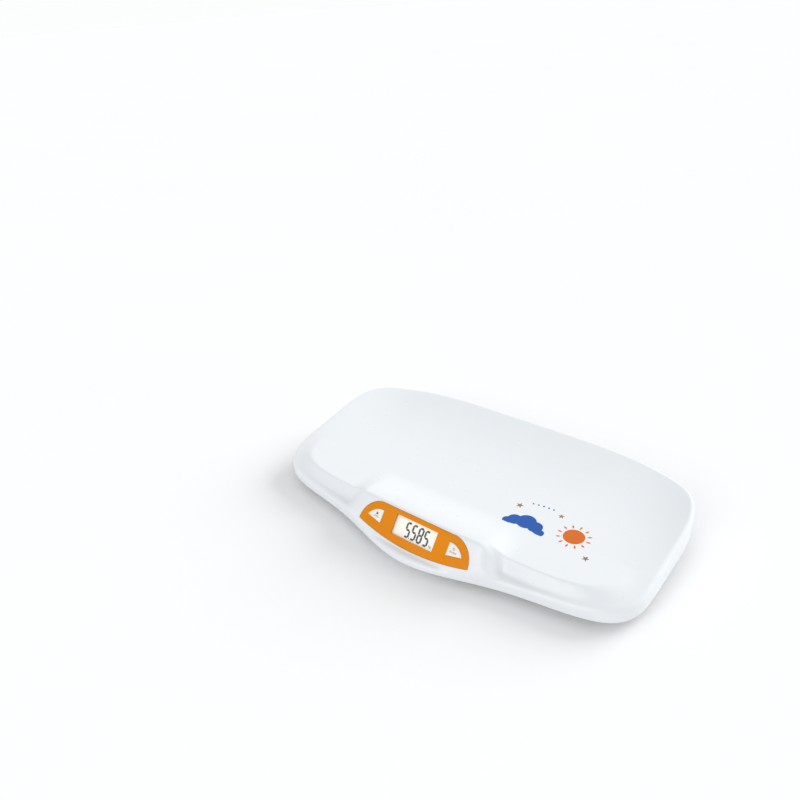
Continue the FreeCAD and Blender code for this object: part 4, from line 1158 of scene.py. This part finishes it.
@dataclass
class Print:
    """A plain sun and cloud with stars and dots, printed on the lying surface."""

    form: TrayForm
    lift: float = 0.06
    sun: tuple = (170.0, -24.0)
    sun_radius: float = 13.5
    ray_circle: float = 19.0
    ray: tuple = (3.6, 1.4)
    rays: int = 12
    cloud_middle: tuple = (108.0, -37.0)
    cloud_lobes: tuple = ((0, 5, 13), (-15, 1, 9.5), (14, 2, 10), (-23, -5, 6), (24, -5, 6))
    cloud_base: float = 9.5
    stars: tuple = ((84, -8, 5.4, 2.3, 90), (139, 2, 4.4, 1.9, 108), (199, -51, 5.0, 2.1, 80))
    dots: int = 5
    first_dot: tuple = (97.0, 8.0)
    dot_pitch: float = 7.0
    dot_sag: float = 0.22
    dot_radius: float = 1.3

    def lay(self, name: str, grids: list[Array], finish: Finish) -> None:
        """Lays flat grids on the lying surface.

        Args:
            name: the piece's name.
            grids: flat grids of x, y points.
            finish: its ink.
        """
        skin = Skin()
        for flat in grids:
            skin.grid(self.form.on_surface(flat, self.lift), flip=facing_down(flat))
        settle(skin.piece(name, closed=False), finish)

    def star(self, x: float, y: float, outer: float, inner: float, turn: float,
             points: int = 5) -> Array:
        """Star: the radius goes from outer to inner and back at every point.

        Args:
            x: its middle.
            y: its middle.
            outer: radius of the points.
            inner: radius between them.
            turn: degrees that it is turned by.
            points: how many points it has.

        Returns:
            A flat fan.
        """
        angle = np.radians(np.linspace(0, 360, 2 * points + 1) + turn)
        radius = np.where(np.arange(2 * points + 1) % 2 == 0, outer, inner)
        return fan(x, y, around(x, y, radius, angle))

    def cloud(self) -> Array:
        """Cloud: in every direction the outline is the far side of the lobe that reaches furthest.

        A ray at angle t leaves the lobe (a, b, r) at a cos t + b sin t + sqrt(r^2 - (a sin t - b cos
        t)^2), and a flat base cuts it off below.

        Returns:
            A flat fan.
        """
        x, y = self.cloud_middle
        angle = np.linspace(0, 2 * np.pi, 241)
        along, up = np.cos(angle), np.sin(angle)
        spots = np.array(self.cloud_lobes)[:, :, None]
        aside = spots[:, 0] * up - spots[:, 1] * along
        inside = spots[:, 2] ** 2 - aside ** 2
        far = spots[:, 0] * along + spots[:, 1] * up + np.sqrt(np.maximum(inside, 0))
        reach = np.where(inside > 0, far, 0).max(axis=0)
        reach = np.minimum(reach, self.cloud_base / np.maximum(-up, 1e-6))
        return fan(x, y, around(x, y, reach, angle))

    def build(self) -> None:
        """Makes the motifs."""
        x, y = self.sun
        reach = self.ray_circle
        turns = np.arange(self.rays) * 2 * np.pi / self.rays
        rays = [self.star(x + reach * math.cos(turn), y + reach * math.sin(turn), *self.ray,
                          math.degrees(turn), points=2) for turn in turns]
        self.lay("print_sun", [disc(x, y, self.sun_radius, count=72), *rays], Finish.INK_ORANGE)
        self.lay("print_cloud", [self.cloud()], Finish.INK_BLUE)
        self.lay("print_stars", [self.star(*star) for star in self.stars], Finish.INK_BROWN)
        x, y = self.first_dot
        last = self.dots - 1
        dots = [disc(x + self.dot_pitch * i, y - self.dot_sag * (i - last) ** 2, self.dot_radius,
                     count=16) for i in range(self.dots)]
        self.lay("print_dots", dots, Finish.INK_BLUE)


# ---------------- underside

@dataclass
class Underside:
    """Base cover, battery door, base screws and feet."""

    pad_radius: float = 12.0
    pad_height: float = 2.5
    pad_rounding: float = 0.8
    groove_pitch: float = 3.2
    groove_place: float = 2.6
    groove_half: float = 0.45
    groove_start: float = 1.0
    pad_rings: int = 60
    edge_rings: int = 7
    screw_radius: float = 2.9
    flat_radius: float = 2.4
    cross_half: float = 0.55
    cross_reach: float = 1.9
    cross_depth: float = 1.1
    side_taper: float = 0.25
    end_taper: float = 0.4
    dome: float = 0.1
    dome_width: float = 0.6
    flat_rings: int = 13
    rim_start: float = 0.1
    rim_rings: int = 4
    screw_sides: int = 64
    screw_face: float = 8.02
    screws: tuple = ((-240, 8), (240, 8), (-120, -98), (120, -98), (-120, 130), (120, 130))

    def lathe(self, profile: Array, x: float, y: float, count: int = 96) -> Array:
        """A profile of radius and height turned about an upright axis."""
        angle = np.linspace(0, 2 * np.pi, count, endpoint=False)
        return raised(around(x, y, profile[:, :1], angle), profile[:, 1:])

    def pad(self, foot: str) -> None:
        """Rubber pad, a turned profile with ring grooves below and a quarter circle at its edge.

        A groove's depth falls by 1 for 1 either side of its middle, once every groove pitch.

        Args:
            foot: which corner it is at.
        """
        low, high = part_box("foot_pad_" + foot)
        x, y = (low.x + high.x) / 2 / MM, (low.y + high.y) / 2 / MM
        radius, rounding, half = self.pad_radius, self.pad_rounding, self.groove_half
        spots = np.linspace(0, radius - rounding, self.pad_rings)
        aside = np.abs((spots % self.groove_pitch) - self.groove_place)
        groove = half * clamp(1 - aside / half) * (spots > self.groove_start)
        below = np.stack([spots, groove], axis=-1)
        turn = np.linspace(0, np.pi / 2, self.edge_rings)[1:]
        edge = np.stack([radius - rounding + rounding * np.sin(turn),
                         rounding - rounding * np.cos(turn)], axis=-1)
        above = np.array([[radius, self.pad_height], [0, self.pad_height]])
        profile = np.concatenate([below, edge, above])
        piece = Skin().grid(self.lathe(profile, x, y), wrap=True).piece("pad_" + foot)
        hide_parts("foot_pad_" + foot)
        settle(piece, Finish.PAD, "foot_" + foot)

    def screw(self, x: float, y: float, z: float) -> Array:
        """Countersunk head seen from below, with a cross recess pressed into it.

        The recess is the cross's depth, times a ramp at the arm's sides, times a ramp at its end. The
        dome is a squared ramp at the rim.

        Args:
            x: its middle.
            y: its middle.
            z: height of its flat face.

        Returns:
            Points, rings x sides x 3.
        """
        flat = np.linspace(0, self.flat_radius, self.flat_rings)
        rim = np.linspace(self.flat_radius + self.rim_start, self.screw_radius, self.rim_rings)
        radii = np.concatenate([flat, rim])[:, None]
        angle = np.linspace(0, 2 * np.pi, self.screw_sides, endpoint=False)[None]
        across, up = radii * np.cos(angle), radii * np.sin(angle)
        arm = np.minimum(np.abs(across), np.abs(up))
        sides = clamp((self.cross_half - arm) / self.side_taper)
        depth = self.cross_depth * sides * clamp((self.cross_reach - radii) / self.end_taper)
        dome = self.dome * clamp((radii - self.screw_radius + self.dome_width) / self.dome_width) ** 2
        return raised(around(x, y, radii, angle), z + depth + dome)

    def build(self) -> None:
        """Makes every visible piece of the underside."""
        settle(softened("base_cover", "base_plate", 0.5, 2), Finish.BASE)
        settle(softened("battery_door", "battery_door_plate", 0.4, 2), Finish.BASE, "door_body")
        for foot in ("front_left", "front_right", "back_left", "back_right"):
            self.pad(foot)
            settle(softened("foot_cap_" + foot, "cap_" + foot, 0.5), Finish.FOOT, "foot_" + foot)
        skin = Skin()
        for x, y in self.screws:
            skin.grid(self.screw(x, y, self.screw_face), wrap=True, flip=True)
        settle(skin.piece("screw_heads", closed=False), Finish.SCREW)


# ---------------- rest of the nodes

NODE_FINISH = {
    "display_window": Finish.WINDOW, "lcd_glass": Finish.DISPLAY, "lcd_holder": Finish.HOLDER,
    "connector_strip": Finish.STRIP, "main_board": Finish.BOARD, "board_parts": Finish.CHIP,
    "board_screws": Finish.SCREW, "base_screws": Finish.SCREW, "cradle_screws": Finish.SCREW,
    "battery_cells": Finish.BATTERY, "battery_plates": Finish.PLATE,
    "battery_springs": Finish.SPRING, "battery_lead_black": Finish.LEAD_BLACK,
    "battery_lead_red": Finish.LEAD_RED, "tray": Finish.TRAY, "base_cover": Finish.BASE,
    "battery_door": Finish.BASE, "display_bezel": Finish.BEZEL,
}
NODE_FAMILY = {
    "key_switch": Finish.SWITCH, "switch_plunger": Finish.PLUNGER, "load_cell_cradle": Finish.CRADLE,
    "load_cell_lead": Finish.LEAD_WHITE, "load_cell": Finish.CELL, "foot_cap": Finish.FOOT,
    "foot_pad": Finish.PAD, "_key": Finish.KEY,
}


def dress_nodes() -> None:
    """Coats every rigid node with the finish of its name or of its family."""
    for name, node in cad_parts.items():
        finish = NODE_FINISH.get(name)
        if finish is None:
            finish = next(value for key, value in NODE_FAMILY.items() if key in name)
        finish.coat(node)


# ---------------- studio

@dataclass
class Studio:
    """Plain pale floor, soft light and the camera."""

    yaw: float = 0.7257
    pitch: float = 0.518
    roll: float = -0.0763
    place: tuple = (464.1, -656.9, 635.5)
    focal_pixels: float = 712.47
    frame_pixels: float = 800.0
    ambient: float = 0.60
    key: float = 2.2
    fill: float = 0.85
    key_from: tuple = (0.38, 0.82, 0.42)
    fill_from: tuple = (-0.1, -0.83, 0.55)
    lamp_spread: float = 40.0
    sky: tuple = (0.96, 0.98, 1.0, 1)
    backdrop: tuple = (0.98, 0.985, 0.99, 1)
    sensor: float = 36.0
    floor_reach: float = 40000.0
    floor_level: float = -0.2
    floor_dark: tuple = (0.955, 0.958, 0.96)
    floor_light: tuple = (0.965, 0.968, 0.97)
    floor_drift_mm: float = 900.0

    def camera(self) -> None:
        """Camera turned by yaw, pitch and roll: its Z axis looks back from the scale."""
        yaw, pitch, roll = self.yaw, self.pitch, self.roll
        back = Vector((math.sin(yaw) * math.cos(pitch), -math.cos(yaw) * math.cos(pitch),
                       math.sin(pitch)))
        level = Vector((math.cos(yaw), math.sin(yaw), 0))
        rise = back.cross(level)
        right = math.cos(roll) * level + math.sin(roll) * rise
        up = -math.sin(roll) * level + math.cos(roll) * rise
        lens = bpy.data.cameras.new("camera")
        lens.sensor_width = self.sensor
        lens.lens = self.focal_pixels * lens.sensor_width / self.frame_pixels
        camera = linked("camera", lens)
        turn = Matrix((right, up, back)).transposed().to_4x4()
        camera.matrix_world = Matrix.Translation(Vector(self.place) * MM) @ turn
        bpy.context.scene.camera = camera

    def floor(self) -> None:
        """Large level floor just below the feet."""
        reach = np.linspace(-self.floor_reach, self.floor_reach, 9)
        flat = np.stack(np.meshgrid(reach, reach), axis=-1)
        floor = Skin().grid(raised(flat, self.floor_level)).piece("studio_floor", closed=False)
        graph = Graph("studio_floor")
        drift = graph.noise(self.floor_drift_mm, detail=1.0)
        graph.tint(drift, self.floor_dark, self.floor_light)
        graph.set(Roughness=0.9, Specular_IOR_Level=0.1)
        self.one_sided(graph)
        floor.data.materials.append(graph.material)

    def one_sided(self, graph: Graph) -> None:
        """Makes a finish clear from behind, so that the underside can be looked at.

        Args:
            graph: the finish's node tree.
        """
        behind = graph.add("ShaderNodeNewGeometry").outputs["Backfacing"]
        mix = graph.add("ShaderNodeMixShader")
        graph.link(behind, mix.inputs["Fac"])
        graph.link(graph.shader.outputs["BSDF"], mix.inputs[1])
        graph.link(graph.add("ShaderNodeBsdfTransparent").outputs["BSDF"], mix.inputs[2])
        graph.link(mix.outputs["Shader"], graph.tree.nodes["Material Output"].inputs["Surface"])

    def world(self) -> None:
        """White to the eye and in reflections, a dimmer grey as light."""
        world = bpy.data.worlds.new("studio_world")
        world.use_nodes = True
        nodes, link = world.node_tree.nodes, world.node_tree.links.new
        light, seen = nodes["Background"], nodes.new("ShaderNodeBackground")
        light.inputs["Color"].default_value = self.sky
        light.inputs["Strength"].default_value = self.ambient
        seen.inputs["Color"].default_value = self.backdrop
        path = nodes.new("ShaderNodeLightPath")
        either = path.outputs["Is Camera Ray"]
        for ray in ("Is Glossy Ray", "Is Transmission Ray"):
            more = nodes.new("ShaderNodeMath")
            more.operation = "MAXIMUM"
            link(either, more.inputs[0])
            link(path.outputs[ray], more.inputs[1])
            either = more.outputs[0]
        mix = nodes.new("ShaderNodeMixShader")
        link(either, mix.inputs["Fac"])
        link(light.outputs[0], mix.inputs[1])
        link(seen.outputs[0], mix.inputs[2])
        link(mix.outputs[0], nodes["World Output"].inputs["Surface"])
        bpy.context.scene.world = world

    def lamp(self, name: str, direction: tuple, power: float, gloss: bool) -> None:
        """Makes a distant lamp with soft shadows.

        Args:
            name: the lamp's name.
            direction: from the scale to the lamp.
            power: light on a face that looks at the lamp, in watts per square metre.
            gloss: whether glossy faces mirror it.
        """
        data = bpy.data.lights.new(name, "SUN")
        data.energy = power
        data.angle = math.radians(self.lamp_spread)
        lamp = linked(name, data)
        lamp.matrix_world = Vector(direction).to_track_quat("Z", "Y").to_matrix().to_4x4()
        lamp.visible_glossy = gloss

    def build(self) -> None:
        """Makes the floor, the light and the camera."""
        self.floor()
        self.world()
        self.lamp("key_lamp", self.key_from, self.key, gloss=False)
        self.lamp("fill_lamp", self.fill_from, self.fill, gloss=True)
        self.camera()
        bpy.context.scene.view_settings.view_transform = "Standard"


def main() -> None:
    """Builds the scale and the studio."""
    logging.basicConfig(level=logging.INFO, format="%(message)s")
    dress_nodes()
    form = TrayForm()
    panel = Panel(form)
    Studio().build()
    Tray(form, panel).build()
    Console(panel).build()
    Print(form).build()
    Underside().build()


if __name__ == "__main__":
    main()
